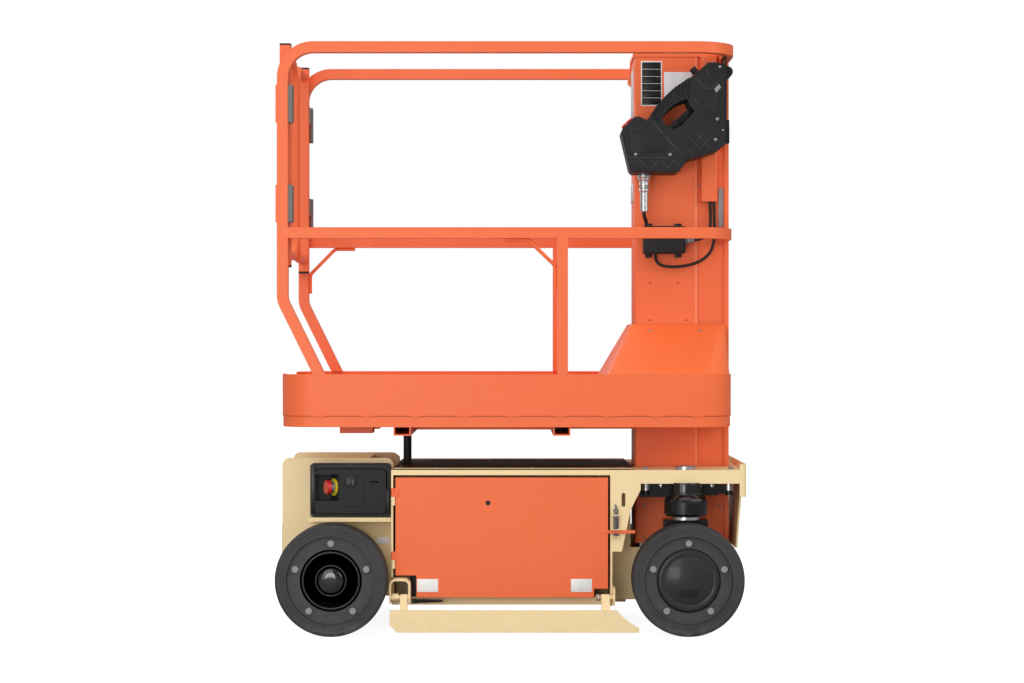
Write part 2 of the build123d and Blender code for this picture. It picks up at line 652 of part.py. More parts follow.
with BuildPart() as platform_deck:
    add(deck_outline(0, deck_floor_z))
    extrude(amount=toe_board_top_z - deck_floor_z)
    add(deck_outline(pan_inset, deck_skirt_bottom_z))
    extrude(amount=deck_floor_z - deck_skirt_bottom_z)
    add(deck_outline(deck_sheet, deck_floor_z))
    extrude(amount=toe_board_top_z - deck_floor_z, mode=Mode.SUBTRACT)
    add(deck_outline(pan_inset + deck_sheet, deck_skirt_bottom_z))
    extrude(amount=deck_floor_z - deck_sheet - deck_skirt_bottom_z, mode=Mode.SUBTRACT)
    block((fit_x, deck_front_x + 5), (-fit_y, fit_y), (deck_skirt_bottom_z, toe_board_top_z), Mode.SUBTRACT)
    block(
        (deck_rear_x - 5, deck_rear_x + 60), (-entry_half_width, entry_half_width),
        (deck_floor_z, toe_board_top_z), Mode.SUBTRACT,
    )
    add(skirt_section(
        skirt_foot_z, skirt_rear_x - running_gap, skirt_front_x + running_gap, skirt_side_y + running_gap,
        skirt_rear_radius + running_gap, skirt_front_radius + running_gap,
    ))
    extrude(amount=skirt_seat_depth, mode=Mode.SUBTRACT)
save(platform_deck.part, "platform_deck")

# Under deck frame: two open ended cross tubes, strips between them and beams to the mast
deck_under_z = deck_floor_z - deck_sheet
cross_tubes = (rod_x, 145.0)
cross_tube_width = 50.0
cross_tube_bottom_z = 580.0
cross_wall = 4.0
strip_y = (150.0, 156.0)
beam_y = (60.0, 100.0)
pan_inner_y = deck_half_width - pan_inset - deck_sheet
with BuildPart() as deck_frame:
    for tube_x in cross_tubes:
        block(
            (tube_x - cross_tube_width / 2, tube_x + cross_tube_width / 2), (-pan_inner_y + 1, pan_inner_y - 1),
            (cross_tube_bottom_z, deck_under_z),
        )
    for strip_sign in (-1, 1):
        block(
            (cross_tubes[0], cross_tubes[1]), (strip_sign * strip_y[0], strip_sign * strip_y[1]), (591, deck_under_z)
        )
        block((cross_tubes[1], fit_x), (strip_sign * beam_y[0], strip_sign * beam_y[1]), (591, deck_under_z))
        block((-512, -414), (strip_sign * 110, strip_sign * 200), (582, 588))
        block((-512, -414), (strip_sign * 110, strip_sign * 116), (582, deck_under_z))
        block((-512, -414), (strip_sign * 194, strip_sign * 200), (582, deck_under_z))
    for tube_x in cross_tubes:
        block(
            (tube_x - cross_tube_width / 2 + cross_wall, tube_x + cross_tube_width / 2 - cross_wall),
            (-pan_inner_y, pan_inner_y), (cross_tube_bottom_z + cross_wall, deck_under_z - cross_wall), Mode.SUBTRACT,
        )
save(deck_frame.part, "deck_frame")

with BuildPart() as push_rod:
    upright(rod_radius, rod_x, 0, (300, cross_tube_bottom_z))
    chamfer(push_rod.faces().sort_by(Axis.Z)[0].edges(), 4)
save(push_rod.part, "push_rod")

# Skirt: sloping cover from the toe board up to the mast
def skirt_solid(shrink):
    base = (
        skirt_rear_x + shrink, skirt_front_x - shrink, skirt_side_y - shrink,
        skirt_rear_radius, skirt_front_radius - shrink,
    )
    crown = (mast_rear_x - 13 + shrink, mast_front_x - 10 - shrink, mast_half_width + 5 - shrink, 8, 10)
    with BuildPart() as solid:
        add(skirt_section(skirt_shoulder_z - shrink, *base))
        add(skirt_section(skirt_top_z, *crown))
        loft()
        add(skirt_section(skirt_foot_z, *base))
        extrude(amount=skirt_shoulder_z - shrink - skirt_foot_z)
    return solid.part


with BuildPart() as mast_skirt:
    add(skirt_solid(0))
    add(skirt_solid(deck_sheet), mode=Mode.SUBTRACT)
    block((fit_x, deck_front_x + 20), (-fit_y, fit_y), (skirt_foot_z, skirt_top_z), Mode.SUBTRACT)
save(mast_skirt.part, "mast_skirt")

# Rails: one bent top rail with its rear post, a middle rail, a middle post and a brace rod on each side
tube_half = rail_tube / 2
rail_y = deck_half_width - tube_half
post_x = rear_post_x + tube_half
post_bend_z = 975.0
post_foot_x = -562.0
mid_post_x = 147.0
rear_bend_radius = 89.0
plan_bend_radius = 105.0
post_bend_radius = 60.0
brace_radius = 5.5
brace_top_z = mid_rail_z - rail_tube - brace_radius + 1
top_rail_end_y = mast_half_width + cap_overhang + running_gap
mid_rail_end_y = mast_half_width - 1 + running_gap
hinge_bands = ((1493.0, 1601.0), (1202.0, 1310.0))
gate_hinge_x = rear_post_x + rail_tube + 9.0
gate_hinge_y = deck_half_width - rail_tube - 4.0
gate_barrel_radius = 5.0
gate_pin_radius = 2.5


def square_tube(path, plane, wall):
    with BuildPart() as tube:
        with BuildSketch(plane):
            Rectangle(rail_tube, rail_tube)
            Rectangle(rail_tube - 2 * wall, rail_tube - 2 * wall, mode=Mode.SUBTRACT)
        sweep(path=path)
    return tube.part


for side_name, side in sides:
    with BuildLine() as top_path:
        FilletPolyline(
            (post_foot_x + 10, side * rail_y, toe_board_top_z - 20), (post_x, side * rail_y, post_bend_z),
            (post_x, side * rail_y, top_rail_z - tube_half),
            (rail_front_x - tube_half, side * rail_y, top_rail_z - tube_half),
            (rail_front_x - tube_half, side * top_rail_end_y, top_rail_z - tube_half),
            radius=[post_bend_radius, rear_bend_radius, plan_bend_radius],
        )
    with BuildLine() as mid_path:
        FilletPolyline(
            (post_x + tube_half, side * rail_y, mid_rail_z - tube_half),
            (rail_front_x - 5 - tube_half, side * rail_y, mid_rail_z - tube_half),
            (rail_front_x - 5 - tube_half, side * mid_rail_end_y, mid_rail_z - tube_half), radius=plan_bend_radius,
        )
    if side < 0:
        brace_points = (
            (mid_post_x - 167, brace_top_z), (mid_post_x - 100, brace_top_z),
            (mid_post_x - tube_half - brace_radius + 1, 1075), (mid_post_x - tube_half - brace_radius + 1, 1008),
        )
    else:
        brace_points = (
            (post_x + 164, brace_top_z), (post_x + 100, brace_top_z),
            (post_x + tube_half + brace_radius - 1, 1069), (post_x + tube_half + brace_radius - 1, 1008),
        )
    with BuildLine() as brace_path:
        FilletPolyline(*[(x, side * rail_y, z) for x, z in brace_points], radius=25)
    with BuildPart() as guard_rail:
        add(square_tube(top_path.line, Plane(top_path.line @ 0, x_dir=(0, 1, 0), z_dir=top_path.line % 0), tube_wall))
        add(square_tube(mid_path.line, Plane(mid_path.line @ 0, x_dir=(0, 1, 0), z_dir=mid_path.line % 0), tube_wall))
        block(
            (mid_post_x - tube_half, mid_post_x + tube_half), (side * (rail_y - tube_half), side * (rail_y + tube_half)),
            (toe_board_top_z, mid_rail_z - rail_tube),
        )
        with BuildSketch(Plane(brace_path.line @ 0, z_dir=brace_path.line % 0)):
            Circle(brace_radius)
        sweep(path=brace_path.line)
        block(
            (post_foot_x - 60, post_foot_x + 80), (side * (rail_y - rail_tube), side * (rail_y + rail_tube)),
            (toe_board_top_z - 60, toe_board_top_z), Mode.SUBTRACT,
        )
        for low_z, high_z in hinge_bands:
            block(
                (-half_length, rear_post_x), (side * (deck_half_width - rail_tube), side * deck_half_width),
                (low_z, high_z),
            )
            band_half = (low_z + high_z) / 2
            block(
                (rear_post_x + rail_tube, gate_hinge_x + 2), (side * gate_hinge_y, side * (deck_half_width - 4)),
                (low_z, band_half),
            )
            upright(gate_barrel_radius, gate_hinge_x, side * gate_hinge_y, (low_z, band_half))
            upright(gate_pin_radius, gate_hinge_x, side * gate_hinge_y, (band_half, high_z))
    save(guard_rail.part, f"guard_rail_{side_name}")

# Gate leaves: square hinge tube with a bent round tube
leaf_outer_y = gate_hinge_y - 4.0
leaf_tube_z = (1074.0, 1726.0)
leaf_x = rear_post_x + 4.0
loop_radius = 12.7
loop_z = (1112.0, 1696.0)
loop_inner_y = 12.0
loop_bend_radius = 70.0
for side_name, side in sides:
    loop_x = leaf_x + tube_half
    with BuildLine() as loop_path:
        FilletPolyline(
            (loop_x, side * (leaf_outer_y - rail_tube), loop_z[1]),
            (loop_x, side * (loop_inner_y + loop_radius), loop_z[1]),
            (loop_x, side * (loop_inner_y + loop_radius), loop_z[0]),
            (loop_x, side * (leaf_outer_y - rail_tube), loop_z[0]),
            radius=loop_bend_radius,
        )
    with BuildPart() as gate:
        block((leaf_x, leaf_x + rail_tube), (side * (leaf_outer_y - rail_tube), side * leaf_outer_y), leaf_tube_z)
        with BuildSketch(Plane(loop_path.line @ 0, z_dir=loop_path.line % 0)):
            Circle(loop_radius)
        sweep(path=loop_path.line)
        for low_z, high_z in hinge_bands:
            moving_z = ((low_z + high_z) / 2 + running_gap, high_z)
            block(
                (leaf_x + rail_tube, gate_hinge_x), (side * (leaf_outer_y - rail_tube + 4), side * gate_hinge_y),
                moving_z,
            )
            upright(gate_barrel_radius, gate_hinge_x, side * gate_hinge_y, moving_z)
        for low_z, high_z in hinge_bands:
            moving_z = ((low_z + high_z) / 2, high_z)
            upright(gate_pin_radius + running_gap, gate_hinge_x, side * gate_hinge_y, moving_z, Mode.SUBTRACT)
    save(gate.part, f"gate_{side_name}")

# Platform control box on the right: moulded console with hand guards, joystick and stop button
console_y = (-250.0, -135.0)
console_cheek = 24.0
console_bottom_z = 1353.0
console_outline = (
    (629, 1671), (606, 1678), (579, 1678), (525, 1632), (509, 1621), (482, 1603), (455, 1578), (428, 1549),
    (410, 1522), (397, 1508), (374, 1519), (361, 1517), (327, 1484), (322, 1472), (348, 1362),
    (356, console_bottom_z), (487, console_bottom_z), (494, 1358), (516, 1389), (604, 1416), (629, 1436),
)
hand_hole = (
    (443, 1508), (446, 1519), (460, 1538), (482, 1556), (508, 1568), (518, 1566), (524, 1550), (539, 1534),
    (500, 1492), (476, 1480), (454, 1490),
)
console_pocket = ((414, 1500), (440, 1478), (500, 1478), (552, 1530), (580, 1700), (480, 1720), (414, 1640))
console_edge = 3.0
console_plane = Plane(origin=(0, console_y[0], 0), x_dir=(1, 0, 0), z_dir=(0, -1, 0))
pocket_plane = Plane(origin=(0, console_y[0] + console_cheek, 0), x_dir=(1, 0, 0), z_dir=(0, -1, 0))
console_width = console_y[1] - console_y[0]
with BuildPart() as control_box:
    with BuildSketch(console_plane):
        with BuildLine():
            Polyline(*console_outline, close=True)
        make_face()
        with BuildLine():
            Polyline(*hand_hole, close=True)
        make_face(mode=Mode.SUBTRACT)
    extrude(amount=-console_width)
    with BuildSketch(pocket_plane):
        with BuildLine():
            Polyline(*console_pocket, close=True)
        make_face()
    extrude(amount=-(console_width - 2 * console_cheek), mode=Mode.SUBTRACT)
    near_rim = control_box.faces().sort_by(Axis.Y)[0].outer_wire().edges()
    chamfer(near_rim, console_edge)
save(control_box.part, "platform_control_box")

console_mid_y = (console_y[0] + console_y[1]) / 2
bracket_x = 629.0
ear_x = 638.0
ear_z = 1653.0
ear_radius = 16.0
ear_hole_radius = 3.5
with BuildPart() as console_bracket:
    block((bracket_x, bracket_x + 5), (console_y[0] + 10, console_y[1] - 10), (1440, top_rail_z - rail_tube))
    block((bracket_x + 5, bracket_x + 16), (console_mid_y - 14, console_mid_y + 14), (1478, 1512))
    for ear_sign in (-1, 1):
        crosswise(
            ear_radius, ear_x, (console_mid_y + ear_sign * 26, console_mid_y + ear_sign * 32), ear_z
        )
    crosswise(ear_hole_radius, ear_x + 3, (console_y[0], console_y[1]), ear_z, Mode.SUBTRACT)
    block((ear_x - ear_radius, bracket_x), console_y, (ear_z - ear_radius, ear_z + ear_radius), Mode.SUBTRACT)
save(console_bracket.part, "console_bracket")

stick_base = Vector(466, console_mid_y, 1478)
stick_lean = Vector(58.6, 0, 48.4)
stick_side = stick_lean.rotate(Axis.Y, 90)
stick_profile = ((0, 0), (20, 0), (19, 8), (13, 16), (12, 40), (15, 46), (16, 74), (13, 82), (0, 84))
with BuildPart() as joystick:
    with BuildSketch(Plane(origin=stick_base, x_dir=stick_side, z_dir=(0, -1, 0))):
        with BuildLine():
            Polyline(*stick_profile, close=True)
        make_face()
    revolve(axis=Axis(stick_base, stick_lean))
    block((400, 560), console_y, (1400, 1478), Mode.SUBTRACT)
save(joystick.part, "joystick")

slope_plane = Plane(origin=(344, console_mid_y, 1500.5), z_dir=(-33, 0, 34))
stop_neck = 1.5
stop_head = 6.0
with BuildPart() as platform_stop_button:
    with BuildSketch(slope_plane):
        Circle(14)
    extrude(amount=stop_neck)
    with BuildSketch(slope_plane.offset(stop_neck)):
        Circle(20)
    extrude(amount=stop_head)
    fillet(platform_stop_button.faces().sort_by(Axis.Z)[-1].edges(), 3)
save(platform_stop_button.part, "platform_stop_button")

# Strain relief and lead down to the junction box on the mast
relief_x = 395.0
relief_y = -160.0
lead_radius = 5.5
junction_x = (394.0, 519.0)
junction_y = (-160.0, -mast_half_width - running_gap)
junction_z = (1118.0, 1200.0)
relief_steps = (
    (20.0, (1340.0, console_bottom_z - running_gap)), (16.5, (1298.0, 1340.0)), (19.0, (1288.0, 1298.0)),
    (12.0, (1242.0, 1288.0)),
)
with BuildPart() as strain_relief:
    for radius, step_z in relief_steps:
        upright(radius, relief_x, relief_y, step_z)
save(strain_relief.part, "strain_relief")
with BuildLine() as lead_path:
    FilletPolyline(
        (relief_x, relief_y, 1242), (relief_x, relief_y, 1229), (relief_x + 8, relief_y + 22, 1213),
        (relief_x + 8, relief_y + 22, junction_z[1]), radius=12,
    )
with BuildPart() as control_lead:
    with BuildSketch(Plane(lead_path.line @ 0, z_dir=lead_path.line % 0)):
        Circle(lead_radius)
    sweep(path=lead_path.line)
save(control_lead.part, "control_lead")

gland_z = 1160.0
gland_y = -122.0
with BuildPart() as junction_box:
    block(junction_x, junction_y, junction_z)
    fillet(junction_box.edges().filter_by(Axis.Y), 6)
    for foot_x in (junction_x[0] + 18, junction_x[1] - 18):
        block((foot_x - 10, foot_x + 10), (junction_y[1] - 5, junction_y[1]), (junction_z[0] - 10, junction_z[1] + 10))
save(junction_box.part, "junction_box")
with BuildPart() as cable_gland:
    lengthwise(13, (junction_x[1], junction_x[1] + 12), gland_y, gland_z)
    lengthwise(9, (junction_x[1] + 12, junction_x[1] + 27), gland_y, gland_z)
save(cable_gland.part, "cable_gland")

# Hose cover on the mast side and the two cables that loop into it
hose_cover_x = (568.0, 619.0)
hose_cover_z = (1276.0, mast_top_z - cap_height)
mast_recess_y = mast_half_width - mast_step_depth
with BuildPart() as hose_cover:
    block(hose_cover_x, (-mast_recess_y, -mast_recess_y - 26), hose_cover_z)
    outer_edges = hose_cover.faces().sort_by(Axis.Y)[0].edges().filter_by(Axis.Z)
    fillet(outer_edges, 8)
    block(
        (hose_cover_x[0] + 3, hose_cover_x[1] - 3), (-mast_recess_y, -mast_recess_y - 23),
        (hose_cover_z[0], hose_cover_z[0] + 60), Mode.SUBTRACT,
    )
save(hose_cover.part, "hose_cover")
cable_radius = 4.5
# Cable name, points of its route
cable_routes = (
    ("upper_cable", (
        (546.6, -122, 1160), (561, -122, 1160), (577.5, -120, 1167), (590, -117, 1179.5), (597, -114, 1196),
        (598.5, -110, 1225), (597, -107, 1262), (596, -106, 1296),
    )),
    ("lower_cable", (
        (431, -122, 1117.4), (431, -122, 1103), (439, -123, 1089), (453, -125, 1081.5), (474, -127, 1078.5),
        (505, -130, 1079.5), (538, -131, 1085), (569, -130, 1097), (593, -127, 1117), (606, -122, 1146),
        (610, -115, 1185), (609.5, -109, 1238), (608, -106, 1296),
    )),
)
for cable_name, route in cable_routes:
    radii = []
    for before, corner, after in zip(route, route[1:], route[2:]):
        arriving = Vector(*corner) - Vector(*before)
        leaving = Vector(*after) - Vector(*corner)
        half_turn = radians(arriving.get_angle(leaving)) / 2
        radii.append(0.45 * min(arriving.length, leaving.length) / (sin(half_turn) / cos(half_turn)))
    with BuildLine() as cable_path:
        FilletPolyline(*route, radius=radii)
    with BuildPart() as cable:
        with BuildSketch(Plane(cable_path.line @ 0, z_dir=cable_path.line % 0)):
            Circle(cable_radius)
        sweep(path=cable_path.line)
    cable_length = cable_path.wire().length
    tube_ratio = cable.part.volume / (pi * cable_radius**2 * cable_length)
    print(cable_name, "length", round(cable_length), "radii", [round(r) for r in radii])
    print(cable_name, "volume over section times length", round(tube_ratio, 4))
    save(cable.part, cable_name)

# Grey toothed strip in the recess in front of the hose cover
with BuildPart() as cable_strip:
    block((622, 640), (-mast_recess_y, -mast_recess_y - 3), (1200, 1318))
save(cable_strip.part, "cable_strip")
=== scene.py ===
import math

import bmesh
import bpy
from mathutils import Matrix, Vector


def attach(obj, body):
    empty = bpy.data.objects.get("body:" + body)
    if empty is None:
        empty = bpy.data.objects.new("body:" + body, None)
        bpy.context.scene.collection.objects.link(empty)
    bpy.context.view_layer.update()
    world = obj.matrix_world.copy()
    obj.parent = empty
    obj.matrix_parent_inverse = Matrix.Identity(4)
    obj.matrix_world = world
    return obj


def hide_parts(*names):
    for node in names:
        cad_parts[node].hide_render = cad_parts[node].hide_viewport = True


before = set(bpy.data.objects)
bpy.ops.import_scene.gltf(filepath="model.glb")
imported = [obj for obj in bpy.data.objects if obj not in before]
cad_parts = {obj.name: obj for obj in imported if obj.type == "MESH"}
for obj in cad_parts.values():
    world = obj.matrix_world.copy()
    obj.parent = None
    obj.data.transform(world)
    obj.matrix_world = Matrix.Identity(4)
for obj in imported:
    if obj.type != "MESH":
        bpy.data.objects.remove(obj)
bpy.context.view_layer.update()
bpy.ops.object.select_all(action="DESELECT")
print("frame loaded")

# camera, level with the middle of the platform rails and square to the machine's right side
cameraValues = {"place": (0.0, -6.58, 0.8545), "lens": 75.5, "sensor": 36.0, "tilt": 90}
cameraData = bpy.data.cameras.new("sideCamera")
cameraData.lens = cameraValues["lens"]
cameraData.sensor_width = cameraValues["sensor"]
camera = bpy.data.objects.new("sideCamera", cameraData)
bpy.context.scene.collection.objects.link(camera)
camera.location = cameraValues["place"]
camera.rotation_euler = (math.radians(cameraValues["tilt"]), 0, 0)
bpy.context.scene.camera = camera
bpy.context.scene.view_settings.view_transform = "Standard"
print("camera set")


# shader groups, each built once and placed in the finishes below
def newGroup(name, inputs, outputs):
    group = bpy.data.node_groups.new(name, "ShaderNodeTree")
    for label, kind, value in inputs:
        socket = group.interface.new_socket(name=label, in_out="INPUT", socket_type=kind)
        socket.default_value = value
    for label, kind in outputs:
        group.interface.new_socket(name=label, in_out="OUTPUT", socket_type=kind)
    return group, group.nodes.new("NodeGroupInput"), group.nodes.new("NodeGroupOutput")


def addNode(tree, kind, links=None, **settings):
    node = tree.nodes.new(kind)
    for key, value in settings.items():
        setattr(node, key, value)
    for key, source in (links or {}).items():
        if isinstance(source, bpy.types.NodeSocket):
            tree.links.new(source, node.inputs[key])
        else:
            node.inputs[key].default_value = source
    return node


def mathOf(tree, operation, first, second=0.5, clamp=False):
    node = addNode(tree, "ShaderNodeMath", {0: first, 1: second}, operation=operation, use_clamp=clamp)
    return node.outputs[0]


def remapped(tree, value, low, high, newLow, newHigh):
    node = addNode(tree, "ShaderNodeMapRange", {"Value": value, "From Min": low, "From Max": high,
                                                "To Min": newLow, "To Max": newHigh})
    return node.outputs[0]


def noiseOf(tree, vector, scale, detail=2.0, rough=0.5):
    node = addNode(tree, "ShaderNodeTexNoise", {"Vector": vector, "Scale": scale, "Detail": detail,
                                                "Roughness": rough})
    return node.outputs[0]


def mixedColour(tree, factor, first, second, blend="MIX"):
    node = addNode(tree, "ShaderNodeMix", data_type="RGBA", blend_type=blend)
    for key, source in ((0, factor), (6, first), (7, second)):
        if isinstance(source, bpy.types.NodeSocket):
            tree.links.new(source, node.inputs[key])
        else:
            node.inputs[key].default_value = source
    return node.outputs[2]


# soft edge catch: how far the rounded normal turns from the true one
edgeGroup, edgeIn, edgeOut = newGroup(
    "edgeCatch", [("Radius", "NodeSocketFloat", 0.0015)],
    [("Mask", "NodeSocketFloat"), ("Normal", "NodeSocketVector")])
edgeRound = addNode(edgeGroup, "ShaderNodeBevel", {"Radius": edgeIn.outputs["Radius"]}, samples=4)
edgeTrue = addNode(edgeGroup, "ShaderNodeNewGeometry")
edgeDot = addNode(edgeGroup, "ShaderNodeVectorMath",
                  {0: edgeRound.outputs[0], 1: edgeTrue.outputs["Normal"]}, operation="DOT_PRODUCT")
edgeMask = remapped(edgeGroup, edgeDot.outputs["Value"], 0.995, 0.80, 0.0, 1.0)
edgeGroup.links.new(edgeMask, edgeOut.inputs["Mask"])
edgeGroup.links.new(edgeRound.outputs[0], edgeOut.inputs["Normal"])

# powder coat: faint cloudiness, orange peel, and a painted highlight that lightens the edges
paintGroup, paintIn, paintOut = newGroup(
    "powderCoat",
    [("Colour", "NodeSocketColor", (0.5, 0.5, 0.5, 1)), ("Edge Colour", "NodeSocketColor", (0.8, 0.8, 0.8, 1)),
     ("Edge Mask", "NodeSocketFloat", 0.0), ("Edge Amount", "NodeSocketFloat", 0.3),
     ("Cloudiness", "NodeSocketFloat", 0.05), ("Peel Scale", "NodeSocketFloat", 420.0),
     ("Roughness", "NodeSocketFloat", 0.4)],
    [("Colour", "NodeSocketColor"), ("Roughness", "NodeSocketFloat"), ("Height", "NodeSocketFloat")])
paintPlace = addNode(paintGroup, "ShaderNodeTexCoord").outputs["Object"]
paintCloud = noiseOf(paintGroup, paintPlace, 5.0, 3.0)
paintSpread = mathOf(paintGroup, "MULTIPLY", mathOf(paintGroup, "SUBTRACT", paintCloud, 0.5),
                     paintIn.outputs["Cloudiness"])
paintShade = addNode(paintGroup, "ShaderNodeVectorMath",
                     {0: paintIn.outputs["Colour"], "Scale": mathOf(paintGroup, "ADD", paintSpread, 1.0)},
                     operation="SCALE").outputs[0]
# painted highlight: the edge mask mixes the edges towards the lighter edge colour
paintEdgeHighlight = mathOf(paintGroup, "MULTIPLY", paintIn.outputs["Edge Mask"], paintIn.outputs["Edge Amount"])
paintGroup.links.new(mixedColour(paintGroup, paintEdgeHighlight, paintShade, paintIn.outputs["Edge Colour"]),
                     paintOut.inputs["Colour"])
paintFine = noiseOf(paintGroup, paintPlace, paintIn.outputs["Peel Scale"], 2.0)
paintPatch = mathOf(paintGroup, "MULTIPLY", mathOf(paintGroup, "SUBTRACT",
                                                   noiseOf(paintGroup, paintPlace, 24.0), 0.5), 0.16)
paintGroup.links.new(mathOf(paintGroup, "ADD", paintPatch, paintIn.outputs["Roughness"]),
                     paintOut.inputs["Roughness"])
paintGroup.links.new(paintFine, paintOut.inputs["Height"])

# moulded plastic and rubber: pebbled grain with duller hollows
grainGroup, grainIn, grainOut = newGroup(
    "mouldGrain",
    [("Colour", "NodeSocketColor", (0.03, 0.03, 0.03, 1)), ("Edge Mask", "NodeSocketFloat", 0.0),
     ("Edge Amount", "NodeSocketFloat", 0.4), ("Grain Scale", "NodeSocketFloat", 700.0),
     ("Roughness", "NodeSocketFloat", 0.5)],
    [("Colour", "NodeSocketColor"), ("Roughness", "NodeSocketFloat"), ("Height", "NodeSocketFloat")])
grainPlace = addNode(grainGroup, "ShaderNodeTexCoord").outputs["Object"]
grainCell = addNode(grainGroup, "ShaderNodeTexVoronoi",
                    {"Vector": grainPlace, "Scale": grainIn.outputs["Grain Scale"]},
                    feature="SMOOTH_F1").outputs["Distance"]
grainCloud = noiseOf(grainGroup, grainPlace, 12.0, 3.0)
grainShade = addNode(grainGroup, "ShaderNodeVectorMath",
                     {0: grainIn.outputs["Colour"], "Scale": remapped(grainGroup, grainCloud, 0.3, 0.7, 0.86, 1.14)},
                     operation="SCALE").outputs[0]
# painted highlight: the edge mask mixes the edges towards a paler tone
grainPale = mixedColour(grainGroup, 0.16, grainShade, (1, 1, 1, 1))
grainEdgeHighlight = mathOf(grainGroup, "MULTIPLY", grainIn.outputs["Edge Mask"], grainIn.outputs["Edge Amount"])
grainGroup.links.new(mixedColour(grainGroup, grainEdgeHighlight, grainShade, grainPale), grainOut.inputs["Colour"])
grainRough = mathOf(grainGroup, "MULTIPLY", mathOf(grainGroup, "SUBTRACT", grainCloud, 0.5), 0.2)
grainGroup.links.new(mathOf(grainGroup, "ADD", grainRough, grainIn.outputs["Roughness"]),
                     grainOut.inputs["Roughness"])
grainGroup.links.new(grainCell, grainOut.inputs["Height"])

# bare metal: long fine lines with brighter and duller bands
brushGroup, brushIn, brushOut = newGroup(
    "brushedLines",
    [("Colour", "NodeSocketColor", (0.5, 0.5, 0.5, 1)), ("Stretch", "NodeSocketVector", (900, 900, 20)),
     ("Roughness", "NodeSocketFloat", 0.35)],
    [("Colour", "NodeSocketColor"), ("Roughness", "NodeSocketFloat"), ("Height", "NodeSocketFloat")])
brushPlace = addNode(brushGroup, "ShaderNodeTexCoord").outputs["Object"]
brushLong = addNode(brushGroup, "ShaderNodeVectorMath",
                    {0: brushPlace, 1: brushIn.outputs["Stretch"]}, operation="MULTIPLY").outputs[0]
brushLine = noiseOf(brushGroup, brushLong, 1.0, 3.0, 0.6)
brushCloud = noiseOf(brushGroup, brushPlace, 30.0, 2.0)
brushShade = remapped(brushGroup, mathOf(brushGroup, "ADD", brushLine, brushCloud), 0.6, 1.4, 0.84, 1.12)
brushGroup.links.new(addNode(brushGroup, "ShaderNodeVectorMath",
                             {0: brushIn.outputs["Colour"], "Scale": brushShade},
                             operation="SCALE").outputs[0], brushOut.inputs["Colour"])
brushRough = mathOf(brushGroup, "MULTIPLY", mathOf(brushGroup, "SUBTRACT", brushLine, 0.5), 0.3)
brushGroup.links.new(mathOf(brushGroup, "ADD", brushRough, brushIn.outputs["Roughness"]),
                     brushOut.inputs["Roughness"])
brushGroup.links.new(brushLine, brushOut.inputs["Height"])

# floor dust that settles low down and in patches
dustGroup, dustIn, dustOut = newGroup(
    "settledDust",
    [("Colour", "NodeSocketColor", (0.1, 0.1, 0.1, 1)), ("Amount", "NodeSocketFloat", 0.2),
     ("Reach", "NodeSocketFloat", 0.12)],
    [("Colour", "NodeSocketColor")])
dustPlace = addNode(dustGroup, "ShaderNodeTexCoord").outputs["Object"]
dustHigh = addNode(dustGroup, "ShaderNodeSeparateXYZ", {0: dustPlace}).outputs["Z"]
dustFade = mathOf(dustGroup, "DIVIDE", dustHigh, dustIn.outputs["Reach"])
dustLow = mathOf(dustGroup, "SUBTRACT", 1.0, dustFade, clamp=True)
dustPatch = remapped(dustGroup, noiseOf(dustGroup, dustPlace, 38.0, 4.0), 0.35, 0.7, 0.0, 1.0)
dustMask = mathOf(dustGroup, "MULTIPLY", mathOf(dustGroup, "MULTIPLY", dustLow, dustPatch),
                  dustIn.outputs["Amount"])
dustGroup.links.new(mixedColour(dustGroup, dustMask, dustIn.outputs["Colour"], (0.42, 0.38, 0.32, 1)),
                    dustOut.inputs["Colour"])
print("shader groups built")


def linear(red, green, blue):
    channels = [value / 255 for value in (red, green, blue)]
    return tuple(c / 12.92 if c <= 0.04045 else ((c + 0.055) / 1.055) ** 2.4 for c in channels) + (1.0,)

def startFinish(name, bumpStrength, bumpDistance, edgeRadius):
    finish = bpy.data.materials.new(name)
    finish.use_nodes = True
    tree = finish.node_tree
    shader = tree.nodes["Principled BSDF"]
    edge = addNode(tree, "ShaderNodeGroup", {"Radius": edgeRadius}, node_tree=edgeGroup)
    bump = addNode(tree, "ShaderNodeBump", {"Strength": bumpStrength, "Distance": bumpDistance,
                                            "Normal": edge.outputs["Normal"]})
    tree.links.new(bump.outputs[0], shader.inputs["Normal"])
    return finish, tree, shader, edge, bump


def endFinish(start, surface, plain, dust=0.0, dustReach=0.2):
    finish, tree, shader, edge, bump = start
    skin = surface.outputs["Colour"]
    if dust:
        skin = addNode(tree, "ShaderNodeGroup", {"Amount": dust, "Reach": dustReach, "Colour": skin},
                       node_tree=dustGroup).outputs["Colour"]
    tree.links.new(skin, shader.inputs["Base Color"])
    tree.links.new(surface.outputs["Roughness"], shader.inputs["Roughness"])
    tree.links.new(surface.outputs["Height"], bump.inputs["Height"])
    for label, value in plain.items():
        shader.inputs[label].default_value = value
    return finish


paintBump, metalBump = 0.0004, 0.0003  # depth of the grain, in metres


def paintFinish(name, colour, edgeColour, roughness=0.42, edgeAmount=0.35, cloudiness=0.05, peel=420.0,
                bump=0.05, coat=0.0, edgeRadius=0.0012, dust=0.0, dustReach=0.2, specular=0.4):
    start = startFinish(name, bump, paintBump, edgeRadius)
    tree, edge = start[1], start[3]
    surface = addNode(tree, "ShaderNodeGroup",
                      {"Colour": colour, "Edge Colour": edgeColour, "Edge Mask": edge.outputs["Mask"],
                       "Edge Amount": edgeAmount, "Cloudiness": cloudiness, "Peel Scale": peel,
                       "Roughness": roughness}, node_tree=paintGroup)
    return endFinish(start, surface, {"Coat Weight": coat, "Specular IOR Level": specular}, dust, dustReach)


